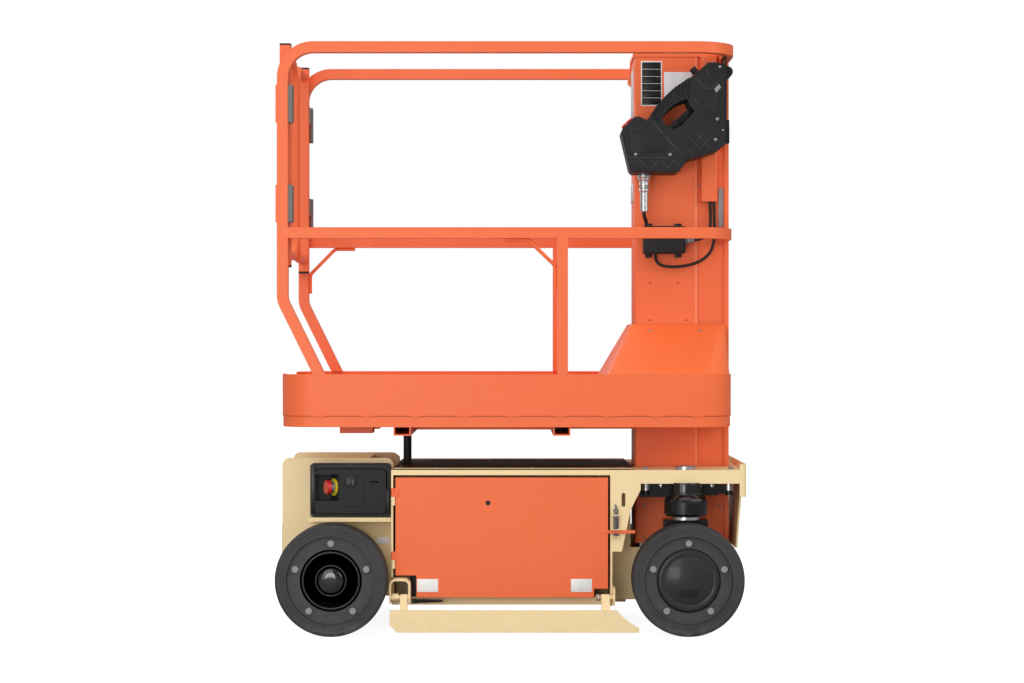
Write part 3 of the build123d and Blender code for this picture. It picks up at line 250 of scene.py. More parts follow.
def mouldFinish(name, colour, roughness=0.5, grain=700.0, edgeAmount=0.5, bump=0.12, edgeRadius=0.0012,
                dust=0.0, dustReach=0.2, coat=0.0, specular=0.4):
    start = startFinish(name, bump, paintBump, edgeRadius)
    tree, edge = start[1], start[3]
    surface = addNode(tree, "ShaderNodeGroup",
                      {"Colour": colour, "Edge Mask": edge.outputs["Mask"], "Edge Amount": edgeAmount,
                       "Grain Scale": grain, "Roughness": roughness}, node_tree=grainGroup)
    return endFinish(start, surface, {"Coat Weight": coat, "Specular IOR Level": specular}, dust, dustReach)


def metalFinish(name, colour, roughness=0.35, stretch=(900, 900, 20), bump=0.06, metallic=0.9,
                edgeRadius=0.0008):
    start = startFinish(name, bump, metalBump, edgeRadius)
    surface = addNode(start[1], "ShaderNodeGroup", {"Colour": colour, "Stretch": stretch, "Roughness": roughness},
                      node_tree=brushGroup)
    return endFinish(start, surface, {"Metallic": metallic})


orangePaint = paintFinish("orangePowderCoat", linear(244, 111, 60), linear(255, 168, 126), 0.46, 0.4)
skirtPaint = paintFinish("skirtOrange", linear(250, 116, 60), linear(255, 176, 134), 0.44, 0.4)
# painted highlight: lighter orange for the bright line along the mast's rounded fold
beadHighlightPaint = paintFinish("mastBeadHighlightOrange", linear(250, 132, 90), linear(255, 186, 150), 0.4, 0.5)
# painted shade: darker orange standing for the orange in shadow, used on the toe board seam and the mast screws
seamShadePaint = paintFinish("seamShadowOrange", linear(182, 82, 46), linear(200, 92, 56), 0.6, 0.2)
creamPaint = paintFinish("creamPowderCoat", linear(248, 222, 170), linear(255, 242, 212), 0.5, 0.35,
                         dust=0.12, dustReach=0.12)
coverPaint = paintFinish("darkCoverPaint", linear(60, 52, 38), linear(96, 86, 68), 0.62, 0.35, 0.12,
                         peel=260.0, bump=0.16, specular=0.12)
castingPaint = paintFinish("blackCastingPaint", linear(22, 22, 23), linear(70, 70, 72), 0.3, 0.35, 0.1,
                           peel=180.0, bump=0.14, coat=0.1, edgeRadius=0.002, specular=0.3)
barrelGloss = paintFinish("barrelGloss", linear(15, 15, 16), linear(90, 90, 92), 0.2, 0.3, 0.06, peel=160.0,
                          bump=0.06, coat=0.4, edgeRadius=0.002, specular=0.5)
# painted shade: near-black for grooves, slots and gaps where shade falls
paintedShadeBlack = paintFinish("paintedShadeBlack", linear(10, 10, 10), linear(20, 20, 20), 0.7, 0.0, 0.0, bump=0.0,
                          specular=0.05)
rimPaint = paintFinish("rimPaint", linear(66, 66, 67), linear(112, 112, 114), 0.55, 0.3, 0.08,
                       peel=300.0, bump=0.1, dust=0.06, dustReach=0.3, specular=0.25)
hubPaint = paintFinish("hubPaint", linear(43, 43, 44), linear(116, 116, 118), 0.34, 0.4, 0.06,
                       peel=240.0, bump=0.04, coat=0.1, specular=0.3)
capGloss = paintFinish("hubCapGloss", linear(16, 16, 17), linear(120, 120, 122), 0.12, 0.3, 0.05,
                       peel=200.0, bump=0.03, coat=0.5, specular=0.5)
hubPlateFinish = mouldFinish("hubPlateBlack", linear(30, 30, 31), 0.6, 500.0, 0.2, 0.08, specular=0.2)
blackPlastic = mouldFinish("blackMouldedPlastic", linear(33, 33, 34), 0.5, 620.0, 0.35, specular=0.25)
glossBlack = mouldFinish("glossBlackPlastic", linear(26, 26, 27), 0.3, 900.0, 0.4, 0.04, specular=0.35)
# grey grip rubber for the console ribs; on the ground box beads this grey is a painted highlight
gripRubberAndHighlight = mouldFinish("gripRubberAndHighlight", linear(58, 58, 60), 0.62, 900.0, 0.3, 0.06, specular=0.2)
windowGrey = mouldFinish("windowGrey", linear(150, 152, 155), 0.3, 900.0, 0.1, 0.02)
seamGrey = mouldFinish("seamGrey", linear(78, 78, 80), 0.55, 900.0, 0.2, 0.04, specular=0.2)
glandGrey = mouldFinish("glandGrey", linear(120, 120, 122), 0.45, 700.0, 0.2, 0.05, specular=0.3)
treadPaint = paintFinish("treadOrange", linear(250, 124, 74), linear(255, 190, 156), 0.38, 0.7)
tyreRubber = mouldFinish("tyreRubber", linear(64, 64, 65), 0.7, 380.0, 0.25, 0.2, 0.003,
                         dust=0.18, dustReach=0.05, specular=0.2)
cordRubber = mouldFinish("cordRubber", linear(38, 37, 36), 0.55, 900.0, 0.0, 0.1, specular=0.3)
batteryPlastic = mouldFinish("batteryPlastic", linear(46, 46, 50), 0.5, 500.0, 0.4, specular=0.3)
yellowPlastic = mouldFinish("yellowPlastic", linear(232, 205, 40), 0.36, 900.0, 0.2, 0.04)
redPlastic = mouldFinish("redPlastic", linear(214, 34, 36), 0.28, 900.0, 0.3, 0.03, coat=0.4)
labelWhite = mouldFinish("blankLabelWhite", linear(236, 236, 234), 0.4, 800.0, 0.1, 0.02)
labelGrey = mouldFinish("blankLabelGrey", linear(222, 224, 226), 0.4, 800.0, 0.1, 0.02)
panelBlack = mouldFinish("blankPanelBlack", linear(22, 22, 23), 0.4, 800.0, 0.1, 0.02, specular=0.3)
hingeGrey = paintFinish("hingeGrey", linear(118, 112, 108), linear(160, 156, 152), 0.5, 0.4, 0.1, peel=300.0,
                        bump=0.1, specular=0.3)
lugGrey = paintFinish("lugGrey", linear(142, 142, 142), linear(180, 180, 180), 0.5, 0.3, 0.16, peel=200.0,
                      bump=0.12, specular=0.3)
mastMetal = metalFinish("mastAluminium", linear(196, 196, 198), 0.45, metallic=0.7)
stripSteel = metalFinish("toothedStripSteel", linear(158, 156, 154), 0.5, (500, 500, 500), 0.1, 0.4)
coilSteel = metalFinish("coilSteel", linear(120, 120, 122), 0.4, (500, 500, 500), 0.05, 0.6)
brightSteel = metalFinish("turnedSteel", linear(206, 206, 208), 0.26, (600, 600, 600), metallic=0.85)
zincSteel = metalFinish("zincFastener", linear(160, 160, 162), 0.38, (500, 500, 500), 0.04, 0.8)
print("finishes built")

nodeFinish = {
    "orange_paint": orangePaint,
    "cream_paint": creamPaint,
    "dark_cover": coverPaint,
    "black_plastic": blackPlastic,
    "black_casting": castingPaint,
    "mast_metal": mastMetal,
    "bright_steel": brightSteel,
    "solid_tyre": tyreRubber,
    "rim_paint": rimPaint,
    "battery_case": batteryPlastic,
    "yellow_plastic": yellowPlastic,
    "red_plastic": redPlastic,
}
for nodeName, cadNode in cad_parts.items():
    for index, slotHolder in enumerate(cadNode.material_slots):
        slotName = slotHolder.material.name.split(".")[0]
        cadNode.material_slots[index].material = nodeFinish[slotName]
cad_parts["mast_skirt"].material_slots[0].material = skirtPaint
print("CAD nodes dressed")


# modelling helpers, sizes in millimetres: a primitive is added, shaped in edit mode and finished
def mm(*values):
    return tuple(value / 1000 for value in values)


def alone(piece):
    bpy.ops.object.select_all(action="DESELECT")
    piece.select_set(True)
    bpy.context.view_layer.objects.active = piece


def applied(piece):
    alone(piece)
    bpy.ops.object.transform_apply(location=True, rotation=True, scale=True)
    return piece


def edit(piece):
    alone(piece)
    bpy.ops.object.mode_set(mode="EDIT")
    bpy.ops.mesh.select_all(action="DESELECT")


def done(piece):
    bpy.ops.object.mode_set(mode="OBJECT")
    return piece


def pick(piece, kind, test):
    bpy.ops.mesh.select_mode(type=kind)
    bpy.ops.mesh.select_all(action="DESELECT")
    net = bmesh.from_edit_mesh(piece.data)
    for part in {"VERT": net.verts, "EDGE": net.edges, "FACE": net.faces}[kind]:
        if test(part):
            part.select_set(True)
    net.select_flush_mode()
    bmesh.update_edit_mesh(piece.data)


def boxed(name, low, high, bevel=0.0, segments=2):
    bpy.ops.object.select_all(action="DESELECT")
    bpy.ops.mesh.primitive_cube_add(size=1, location=[(a + b) / 2000 for a, b in zip(low, high)])
    piece = bpy.context.object
    piece.name = name
    piece.scale = [abs(b - a) / 1000 for a, b in zip(low, high)]
    applied(piece)
    if bevel:
        edit(piece)
        bpy.ops.mesh.select_all(action="SELECT")
        bpy.ops.mesh.bevel(offset=bevel / 1000, segments=segments, affect="EDGES")
        done(piece)
    return piece


def turned(name, profile, sides=40):
    (firstRadius, firstHeight), (lastRadius, lastHeight) = profile[:2]
    bpy.ops.object.select_all(action="DESELECT")
    bpy.ops.mesh.primitive_cone_add(
        vertices=sides, radius1=firstRadius / 1000, radius2=lastRadius / 1000,
        depth=(lastHeight - firstHeight) / 1000, location=mm(0, 0, (firstHeight + lastHeight) / 2))
    piece = bpy.context.object
    piece.name = name
    applied(piece)
    edit(piece)
    topPlace = lastHeight / 1000
    pick(piece, "FACE", lambda face: len(face.verts) == sides and abs(face.calc_center_median().z - topPlace) < 1e-6)
    for radius, height in profile[2:]:
        bpy.ops.mesh.extrude_region_move(TRANSFORM_OT_translate={"value": mm(0, 0, height - lastHeight)})
        ratio = radius / lastRadius
        bpy.ops.transform.resize(value=(ratio, ratio, 1), center_override=mm(0, 0, height))
        lastRadius, lastHeight = radius, height
    return done(piece)


def copied(template, place, turn=(0, 0, 0), size=1.0):
    twin = template.copy()
    twin.data = template.data.copy()
    bpy.context.scene.collection.objects.link(twin)
    twin.location = mm(*place)
    twin.rotation_euler = [math.radians(angle) for angle in turn]
    twin.scale = (size, size, size)
    return applied(twin)


def moved(piece, place, turn=(0, 0, 0)):
    piece.location = mm(*place)
    piece.rotation_euler = [math.radians(angle) for angle in turn]
    return applied(piece)


def joined(name, pieces):
    bpy.ops.object.select_all(action="DESELECT")
    for piece in pieces:
        piece.select_set(True)
    bpy.context.view_layer.objects.active = pieces[0]
    if len(pieces) > 1:
        bpy.ops.object.join()
    whole = bpy.context.view_layer.objects.active
    whole.name = name
    whole.data.name = name
    return whole


def finished(piece, finish, body, smooth=32, replaced=()):
    applied(piece)
    bpy.ops.object.shade_smooth_by_angle(angle=math.radians(smooth))
    piece.data.materials.clear()
    piece.data.materials.append(finish)
    piece.data.name = piece.name
    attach(piece, body)
    if replaced:
        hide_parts(*replaced)
    return piece


def recessed(piece, test, margin, step, depth):
    edit(piece)
    pick(piece, "FACE", test)
    bpy.ops.mesh.inset(thickness=margin / 1000, use_boundary=True)
    bpy.ops.mesh.inset(thickness=step / 1000, depth=-depth / 1000, use_boundary=True)
    return done(piece)


def boxGroup(name, blocks, finish, body, smooth=32):
    return finished(joined(name, [boxed(name, *block) for block in blocks]), finish, body, smooth)


outward = {"right": (90, 0, 0), "left": (-90, 0, 0), "up": (0, 0, 0), "down": (180, 0, 0),
           "rear": (0, -90, 0), "front": (0, 90, 0)}
sides = (("left", 1, "left"), ("right", -1, "right"))  # name, sign of y, way a fastener faces

# fastener templates, heads along +Z from their seat
fastenerProfiles = {
    "hexHead": ([(7.4, 1.2), (7.4, 5.6), (6.5, 6.3)], 6),
    "hexWasher": ([(8.6, -0.6), (8.6, 1.0), (8.2, 1.3)], 24),
    "panScrew": ([(4.0, -0.6), (4.0, 0.7), (3.5, 1.7), (2.4, 2.4), (1.1, 2.6), (0.9, 1.5)], 20),
    "capScrew": ([(4.4, -0.6), (4.4, 3.8), (3.9, 4.4), (2.2, 4.4), (2.1, 2.4)], 20),
    "rivetHead": ([(3.4, -0.4), (3.4, 0.3), (2.8, 1.0), (1.6, 1.5), (0.8, 1.6)], 16),
    "lugDisc": ([(9.7, -1.0), (9.7, 6.6), (9.0, 7.4), (3.0, 7.5)], 32),
}
heads = {name: turned(name, profile, count) for name, (profile, count) in fastenerProfiles.items()}
hexBolt = joined("hexBolt", [heads["hexHead"], heads["hexWasher"]])
panScrew, capScrew, rivetHead, lugDisc = (heads[name] for name in ("panScrew", "capScrew", "rivetHead", "lugDisc"))
templates = [hexBolt, panScrew, capScrew, rivetHead, lugDisc]
print("fastener templates turned")


def fasteners(name, template, places, facing, finish, body, size=1.0):
    group = [copied(template, place, outward[facing], size) for place in places]
    return finished(joined(name, group), finish, body, 30)


# wheels: spun tyres with a sunk sidewall band, lug discs, hub plates
wheelValues = {
    "axles": {"front": 511.0, "rear": -524.0}, "face": 370.0, "tyreRadius": 162.5, "innerRadius": 128.0,
    "inner": 280.0, "width": 100.0, "shoulder": 10.0, "shoulderSteps": 6, "spinSteps": 96,
    "bandMargin": 3.2, "bandStep": 0.6, "bandDepth": 0.9, "lugCircle": 108.0, "lugCount": 5,
}
tyreRadius = wheelValues["tyreRadius"]


def spunTyre(name, axleX, side):
    values = wheelValues
    middle = side * (values["inner"] + values["width"] / 2)
    sectionHeight = tyreRadius - values["innerRadius"]
    sectionMiddle = tyreRadius + (tyreRadius + values["innerRadius"]) / 2
    bpy.ops.object.select_all(action="DESELECT")
    bpy.ops.mesh.primitive_plane_add(size=1, location=mm(axleX, middle, sectionMiddle),
                                     rotation=(0, math.radians(90), 0))
    tyre = bpy.context.object
    tyre.name = name
    tyre.scale = mm(sectionHeight, values["width"], 1000)
    applied(tyre)
    edit(tyre)
    treadPlace = 2 * tyreRadius / 1000 - 1e-5
    pick(tyre, "VERT", lambda vert: vert.co.z > treadPlace)
    bpy.ops.mesh.bevel(offset=values["shoulder"] / 1000, segments=values["shoulderSteps"], affect="VERTICES")
    pick(tyre, "FACE", lambda face: True)
    bpy.ops.mesh.delete(type="ONLY_FACE")
    bpy.ops.mesh.select_mode(type="EDGE")
    bpy.ops.mesh.select_all(action="SELECT")
    bpy.ops.mesh.spin(steps=values["spinSteps"], angle=2 * math.pi, center=mm(axleX, 0, tyreRadius), axis=(0, 1, 0))
    bpy.ops.mesh.select_all(action="SELECT")
    bpy.ops.mesh.remove_doubles(threshold=1e-5)
    bpy.ops.mesh.normals_make_consistent(inside=False)
    done(tyre)
    return recessed(tyre, lambda face: face.normal.y * side > 0.998, values["bandMargin"], values["bandStep"],
                    values["bandDepth"])  # only the flat wall, not the first step of the shoulder


hubPlate = {"width": 55.0, "height": 21.0, "drop": 36.0, "faces": (2.5, 6.0)}
for end, axleX in wheelValues["axles"].items():
    for sideName, side, facing in sides:
        wheelBody = f"wheel_{end}_{sideName}"
        tyre = spunTyre(f"tyre_skin_{end}_{sideName}", axleX, side)
        finished(tyre, tyreRubber, wheelBody, 30, [f"tyre_{end}_{sideName}"])
        lugPlaces = []
        for index in range(wheelValues["lugCount"]):
            angle = math.radians(-90 * side + 360 / wheelValues["lugCount"] * index)
            lugPlaces.append((axleX + wheelValues["lugCircle"] * math.cos(angle), side * wheelValues["face"],
                              tyreRadius + wheelValues["lugCircle"] * math.sin(angle)))
        fasteners(f"lug_discs_{end}_{sideName}", lugDisc, lugPlaces, facing, lugGrey, wheelBody)
        if end == "front":
            half, low = hubPlate["width"] / 2, tyreRadius - hubPlate["drop"] - hubPlate["height"] / 2
            nearFace, farFace = [side * (wheelValues["face"] + reach) for reach in hubPlate["faces"]]
            block = (axleX - half, nearFace, low), (axleX + half, farFace, low + hubPlate["height"]), 0.3
            boxGroup(f"hub_plate_{sideName}", [block], hubPlateFinish, wheelBody)
print("wheels modelled")


# springs: a small wire section screwed up its axis
def coiled(name, coilRadius, wireRadius, height, turns):
    bpy.ops.object.select_all(action="DESELECT")
    bpy.ops.mesh.primitive_circle_add(vertices=8, radius=wireRadius / 1000, fill_type="NOTHING",
                                      location=mm(coilRadius, 0, 0), rotation=(math.radians(90), 0, 0))
    spring = bpy.context.object
    spring.name = name
    applied(spring)
    screw = spring.modifiers.new("wind", "SCREW")
    screw.axis = "Z"
    screw.iterations = turns
    screw.screw_offset = height / turns / 1000
    screw.steps = 16
    screw.render_steps = 16
    screw.use_merge_vertices = True
    bpy.ops.object.modifier_apply(modifier=screw.name)
    edit(spring)
    bpy.ops.mesh.select_mode(type="EDGE")
    bpy.ops.mesh.select_non_manifold()
    bpy.ops.mesh.fill()
    bpy.ops.mesh.select_all(action="SELECT")
    bpy.ops.mesh.normals_make_consistent(inside=False)
    return done(spring)


# chassis: latches, bushes, bolts, door locks, blank labels
latchValues = {
    "place": (303.9, 299.0, 303.4), "spring": {"coilRadius": 7.6, "wireRadius": 1.6, "height": 37.6, "turns": 6},
    "knob": [(4.2, 0), (4.2, 37.6), (8.6, 37.6), (8.6, 41.0), (5.2, 42.0), (5.2, 50), (7.0, 52), (7.2, 58), (5.6, 61),
             (3.4, 62), (3.2, 70), (1.8, 71.4)],
    "nut": [(8.0, 0), (8.8, 0.6), (8.8, 7.0), (8.0, 7.6), (4.2, 7.6)], "nutLow": 284.4,
    "lips": ((10.5, 344.6), (15.0, 303.0), (12.0, 282.4)), "lipFaces": (289.5, 306.5), "lipThick": 2.6,
}
chassisValues = {
    "plateTop": 478, "bolts": ((392.6, 252), (644.6, 252), (-335, 262)), "rivet": (301.6, 290.0, 375.8),
    "bushes": ((397, 218, 413), (643, 218, 413)), "studs": ((440.2, 232, 472), (590.5, 232, 472)),
    "bush": [(12.4, 0), (13.2, 0.8), (13.2, 22), (12.4, 22.8), (12.2, 23.4)],
    "stud": [(4.4, 0), (4.4, 33), (8.4, 33.2), (8.8, 34), (8.8, 44), (8.0, 45), (4.4, 45.2), (4.0, 49)],
    "rearLabel": ((-403, -163.7, 250), (-367, -164.6, 270), 0.25),
}
doorValues = {
    "face": 295.0, "lockPlace": (-70.2, 382), "labelX": ((-278.0, -216.5), (172.6, 234.0)), "labelZ": (121.5, 159.6),
    "lock": [(7.0, -0.4), (7.0, 0.9), (6.2, 1.5), (4.4, 1.5), (4.2, 0.5), (2.2, 0.5), (2.0, 0.2)],
}
guardValues = {
    "sleevePlace": (244.2, 328, 109), "leverPlace": (-292, 316, 98),
    "sleeve": [(9.4, 0), (9.9, 0.6), (9.9, 4.8), (8.6, 5.4), (8.6, 7.6), (9.9, 8.2), (9.9, 12.2), (9.4, 12.8)],
    "lever": [(4.0, 0), (7.2, 1.2), (7.2, 13), (5.8, 17), (4.4, 78), (3.2, 89), (2.2, 90)],
}


def mirrored(place, side):
    return place[0], side * place[1], place[2]


for sideName, side, facing in sides:
    x, y, low = mirrored(latchValues["place"], side)
    spring = moved(coiled("latchCoil", **latchValues["spring"]), (x, y, low))
    knob = moved(turned("latchKnob", latchValues["knob"], 24), (x, y, low))
    nut = moved(turned("latchNut", latchValues["nut"], 6), (x, y, latchValues["nutLow"]))
    finished(joined(f"door_latch_spring_{sideName}", [spring, knob, nut]), coilSteel, "chassis", 34)
    nearFace, farFace = [side * face for face in latchValues["lipFaces"]]
    boxGroup(f"door_latch_lips_{sideName}",
             [((x - reach, nearFace, lipZ), (x + reach, farFace, lipZ + latchValues["lipThick"]), 0.8)
              for reach, lipZ in latchValues["lips"]], creamPaint, "chassis")
    fasteners(f"gusset_rivet_{sideName}", rivetHead, [mirrored(chassisValues["rivet"], side)], facing, zincSteel,
              "chassis", 0.8)
    bushes = [moved(turned("bush", chassisValues["bush"], 32), mirrored(place, side))
              for place in chassisValues["bushes"]]
    bushes += [moved(turned("stud", chassisValues["stud"], 24), mirrored(place, side), outward["down"])
               for place in chassisValues["studs"]]
    finished(joined(f"link_bushes_{sideName}", bushes), brightSteel, "chassis", 34)
    fasteners(f"plate_bolts_{sideName}", hexBolt,
              [(boltX, side * boltY, chassisValues["plateTop"]) for boltX, boltY in chassisValues["bolts"]], "up",
              zincSteel, "chassis", 1.05)
    lock = moved(turned(f"door_lock_{sideName}", doorValues["lock"], 28),
                 (doorValues["lockPlace"][0], side * doorValues["face"], doorValues["lockPlace"][1]), outward[facing])
    finished(lock, blackPlastic, f"battery_door_{sideName}")
    labelLow, labelHigh = doorValues["labelZ"]
    boxGroup(f"door_labels_{sideName}",
             [((left, side * (doorValues["face"] - 0.3), labelLow),
               (right, side * (doorValues["face"] + 0.5), labelHigh), 0.25) for left, right in doorValues["labelX"]],
             labelWhite, f"battery_door_{sideName}")
    sleeve = turned(f"guard_hinge_sleeve_{sideName}", guardValues["sleeve"], 24)
    finished(moved(sleeve, mirrored(guardValues["sleevePlace"], side), outward["front"]), zincSteel,
             "chassis")
    lever = turned(f"guard_lever_{sideName}", guardValues["lever"], 24)
    finished(moved(lever, mirrored(guardValues["leverPlace"], side), outward["front"]), castingPaint,
             "chassis")
boxGroup("rear_plate_label", [chassisValues["rearLabel"]], labelWhite, "chassis")
print("chassis fittings modelled")

# ground control box: lid panel, selector, slot, screws, grey beads as painted highlights on the frame, and the stop
# collar
groundValues = {
    "lidFace": 257.0, "panel": ((-497.5, 367.3), (-432.8, 458.6)), "selector": (-474.0, 442.0),
    "ring": [(15.0, 0), (15.8, 0.6), (15.8, 2.4), (15.0, 3.0), (13.3, 3.0), (13.3, 15.6), (12.2, 16.8), (10.8, 16.8),
             (10.4, 15.9)],
    "ridge": ((-373.6, -246.5, 361), (-368.0, -243.0, 424), 1.0),
    "frame": [((-595.6, -236, 345), (-579.5, -245.4, 490), 1.6), ((-583.0, -236, 352), (-514.0, -252.0, 372), 5.0, 4),
              ((-379.0, -242, 345), (-358.0, -248.4, 420), 2.0)],
    "beads": [((-580.0, -243.4, 482.4), (-373.0, -245.0, 487.6), 0.7),
              ((-595.2, -244.8, 342.0), (-591.4, -246.0, 489.6), 0.7)],
    "slot": ((-419.6, -256.6, 439.2), (-391.6, -257.5, 443.2), 0.3), "grip": (2.6, (15, 20.5), 11),
    "stop": (-525.0, -225.0, 424.0), "stopTurn": -63.0,
    "collar": [(15.6, 4.2), (16.8, 5.0), (16.8, 8.6), (15.8, 9.6), (15.0, 9.6), (14.6, 15.4)],
    "screwFace": 243.8,
    "screws": ((-588.6, 489.6), (-362.4, 489.6), (-475.5, 489.6), (-588.6, 342.4), (-362.4, 342.4)),
}
(panelLeft, panelLow), (panelRight, panelHigh) = groundValues["panel"]
lidFace = groundValues["lidFace"]
panel = boxed("selectorPanel", (panelLeft, -lidFace + 0.5, panelLow), (panelRight, -lidFace - 1.6, panelHigh), 0.8)
recessed(panel, lambda face: face.normal.y < -0.99 and face.calc_area() > 0.002, 3.0, 0.5, 0.9)
ridge = boxed("sideBar", *groundValues["ridge"])
finished(joined("ground_box_lid_detail", [panel, ridge]), blackPlastic, "chassis", 34)
boxGroup("ground_box_frame", groundValues["frame"], glossBlack, "chassis", 40)
# painted highlight: the lighter grey beads stand for the bright edges of the frame
boxGroup("ground_box_highlight_beads", groundValues["beads"], gripRubberAndHighlight, "chassis")
selectorX, selectorZ = groundValues["selector"]
selector = moved(turned("selectorRing", groundValues["ring"], 40), (selectorX, -lidFace - 1.2, selectorZ),
                 outward["right"])
gripHalf, (gripNear, gripFar), gripReach = groundValues["grip"]
grip = boxed("selectorGrip", (selectorX - gripHalf, -lidFace - gripNear, selectorZ - gripReach),
             (selectorX + gripHalf, -lidFace - gripFar, selectorZ + gripReach), 1.0)
finished(joined("ground_selector", [selector, grip]), glossBlack, "chassis", 34)
# key slot near-black as painted shade in the hole
boxGroup("ground_key_slot", [groundValues["slot"]], paintedShadeBlack, "chassis")
collar = moved(turned("ground_stop_collar", groundValues["collar"], 40), groundValues["stop"],
               (90, 0, groundValues["stopTurn"]))
finished(collar, zincSteel, "chassis")
for boxName, side, facing in (("ground", -1, "right"), ("far", 1, "left")):
    fasteners(f"{boxName}_box_screws", capScrew,
              [(x, side * groundValues["screwFace"], z) for x, z in groundValues["screws"]], facing, glossBlack,
              "chassis", 0.9)
print("ground box dressed")

# mast: blank panels, screws, corner bead in lighter orange as a painted highlight, toothed strip, rear strips
mastValues = {
    "side": 100.0, "step": 92.0, "low": 247.0, "top": 1713.0, "beadX": 558.0,
    "panelBase": ((389.2, -99.8, 1565), (452.5, -100.5, 1700.7), 0.2),
    "cells": {"count": 6, "x": (392.2, 449.5), "y": (-100.3, -100.9), "z": (1568.0, 1697.7), "gap": 0.6},
    "sticker": ((458.6, -99.8, 1583), (543.0, -100.6, 1667.5), 0.2),
    "rearStrips": [((368.8, -22, 1538), (371.2, 88, 1685), 0.6), ((368.8, -22, 1282), (371.2, 88, 1338), 0.6)],
    "gusset": ((358.5, 86, 1642), (371.5, 98, 1722), 1.0),
    "skirtScrews": {"x": (413.9, 565.7), "y": 133.6, "z": 886.8, "slope": 35.5},
}
mastScrews = [(416.0, 1031.0), (501.7, 1031.0), (416.0, 919.0), (526.1, 919.0), (398.2, 358.3), (398.2, 261.7)]
stepScrews = [(565.6, 1323.6), (627.5, 358.3)]
for sideName, side, facing in sides:
    places = [(x, side * mastValues["side"], z) for x, z in mastScrews]
    places += [(x, side * mastValues["step"], z) for x, z in stepScrews]
    fasteners(f"mast_screws_{sideName}", panScrew, places[:4], facing, seamShadePaint, "platform", 0.8)
    fasteners(f"mast_foot_screws_{sideName}", panScrew, places[4:], facing, zincSteel, "platform", 0.9)
    # corner bead in lighter orange, a painted highlight of the rounded fold
    bead = boxed(f"mast_corner_highlight_bead_{sideName}", (mastValues["beadX"] - 7, side * (mastValues["side"] - 4),
                                                  mastValues["low"] + 1),
                 (mastValues["beadX"] + 2.4, side * (mastValues["side"] + 0.5), mastValues["top"] - 1), 2.2, 4)
    finished(bead, beadHighlightPaint, "platform", 50)
    skirt = mastValues["skirtScrews"]
    screws = [copied(panScrew, (x, side * skirt["y"], skirt["z"]), (-side * skirt["slope"], 0, 0)) for x in skirt["x"]]
    finished(joined(f"skirt_screws_{sideName}", screws), zincSteel, "platform")
boxGroup("mast_panel_base", [mastValues["panelBase"]], labelWhite, "platform")
cells = mastValues["cells"]
(cellLeft, cellRight), (cellBack, cellFace), (cellLow, cellHigh) = cells["x"], cells["y"], cells["z"]
cellStep = (cellHigh - cellLow) / cells["count"]
boxGroup("mast_panel_cells",
         [((cellLeft, cellBack, cellLow + index * cellStep + cells["gap"]),
           (cellRight, cellFace, cellLow + (index + 1) * cellStep - cells["gap"]), 0.15)
          for index in range(cells["count"])], panelBlack, "platform")
boxGroup("mast_blank_sticker", [mastValues["sticker"]], labelGrey, "platform")
boxGroup("mast_rear_strips", mastValues["rearStrips"], mastMetal, "platform")
gusset = boxed("mast_top_gusset", *mastValues["gusset"])
edit(gusset)
pick(gusset, "VERT", lambda vert: vert.co.x < 0.3605 and vert.co.z > 1.71)
bpy.ops.transform.translate(value=mm(9, 0, 0))
pick(gusset, "VERT", lambda vert: vert.co.x < 0.3605 and vert.co.z < 1.65)
bpy.ops.transform.translate(value=mm(0, 0, 12))
done(gusset)
finished(gusset, orangePaint, "platform")

stripValues = {"x": (622.5, 639.5), "y": (-95.0, -92.2), "z": (1200.5, 1317.5), "teeth": 22}
strip = boxed("toothed_strip", (stripValues["x"][0] + 2.2, stripValues["y"][0] + 0.8, stripValues["z"][0]),
              (stripValues["x"][1] - 2.2, stripValues["y"][1], stripValues["z"][1]), 0.4)
stripParts = [strip]
dimple = turned("dimple", [(2.0, -0.2), (2.0, 0.6), (1.5, 0.9), (0.9, 0.2)], 12)
templates.append(dimple)
toothPitch = (stripValues["z"][1] - stripValues["z"][0]) / stripValues["teeth"]
for index in range(stripValues["teeth"]):
    middle = stripValues["z"][0] + (index + 0.5) * toothPitch
    stripParts.append(boxed("tooth", (stripValues["x"][0], stripValues["y"][0] + 0.6, middle - toothPitch * 0.3),
                            (stripValues["x"][1], stripValues["y"][1] - 0.4, middle + toothPitch * 0.3), 0.7, 1))
    stripParts.append(copied(dimple, (sum(stripValues["x"]) / 2, stripValues["y"][0] + 0.9, middle),
                             outward["right"]))
finished(joined("cable_track", stripParts), stripSteel, "platform", 30, ["cable_strip"])
print("mast dressed")

# toe board seam in darker orange as painted shade, with stitch welds, and the gate hinges and end caps
toeValues = {"rear": -677.0, "front": 645.0, "half": 335.0, "seam": 638.0, "rearCorner": 100.0,
             "frontCorner": 90.0, "entry": 160.0, "proud": 0.35, "stitchHalf": 15,
             "stitches": (-560, -420, -280, -140, 0, 140, 280, 420, 540)}
seam = boxed("toe_board_seam", (toeValues["rear"], -toeValues["half"], toeValues["seam"] - 1.3),
             (toeValues["front"], toeValues["half"], toeValues["seam"] - 0.2))
for corner, cornerX in (("rearCorner", toeValues["rear"]), ("frontCorner", toeValues["front"])):
    edit(seam)
    pick(seam, "EDGE", lambda edge: all(abs(vert.co.x - cornerX / 1000) < 1e-5 for vert in edge.verts)
         and abs(edge.verts[0].co.z - edge.verts[1].co.z) > 0.0005)
    bpy.ops.mesh.bevel(offset=toeValues[corner] / 1000, segments=18, affect="EDGES")
    done(seam)
edit(seam)
pick(seam, "FACE", lambda face: abs(face.normal.z) > 0.9)
bpy.ops.mesh.delete(type="FACE")
bpy.ops.mesh.select_all(action="SELECT")
bpy.ops.mesh.bisect(plane_co=mm(0, toeValues["entry"], 0), plane_no=(0, 1, 0))
bpy.ops.mesh.select_all(action="SELECT")
bpy.ops.mesh.bisect(plane_co=mm(0, -toeValues["entry"], 0), plane_no=(0, 1, 0))
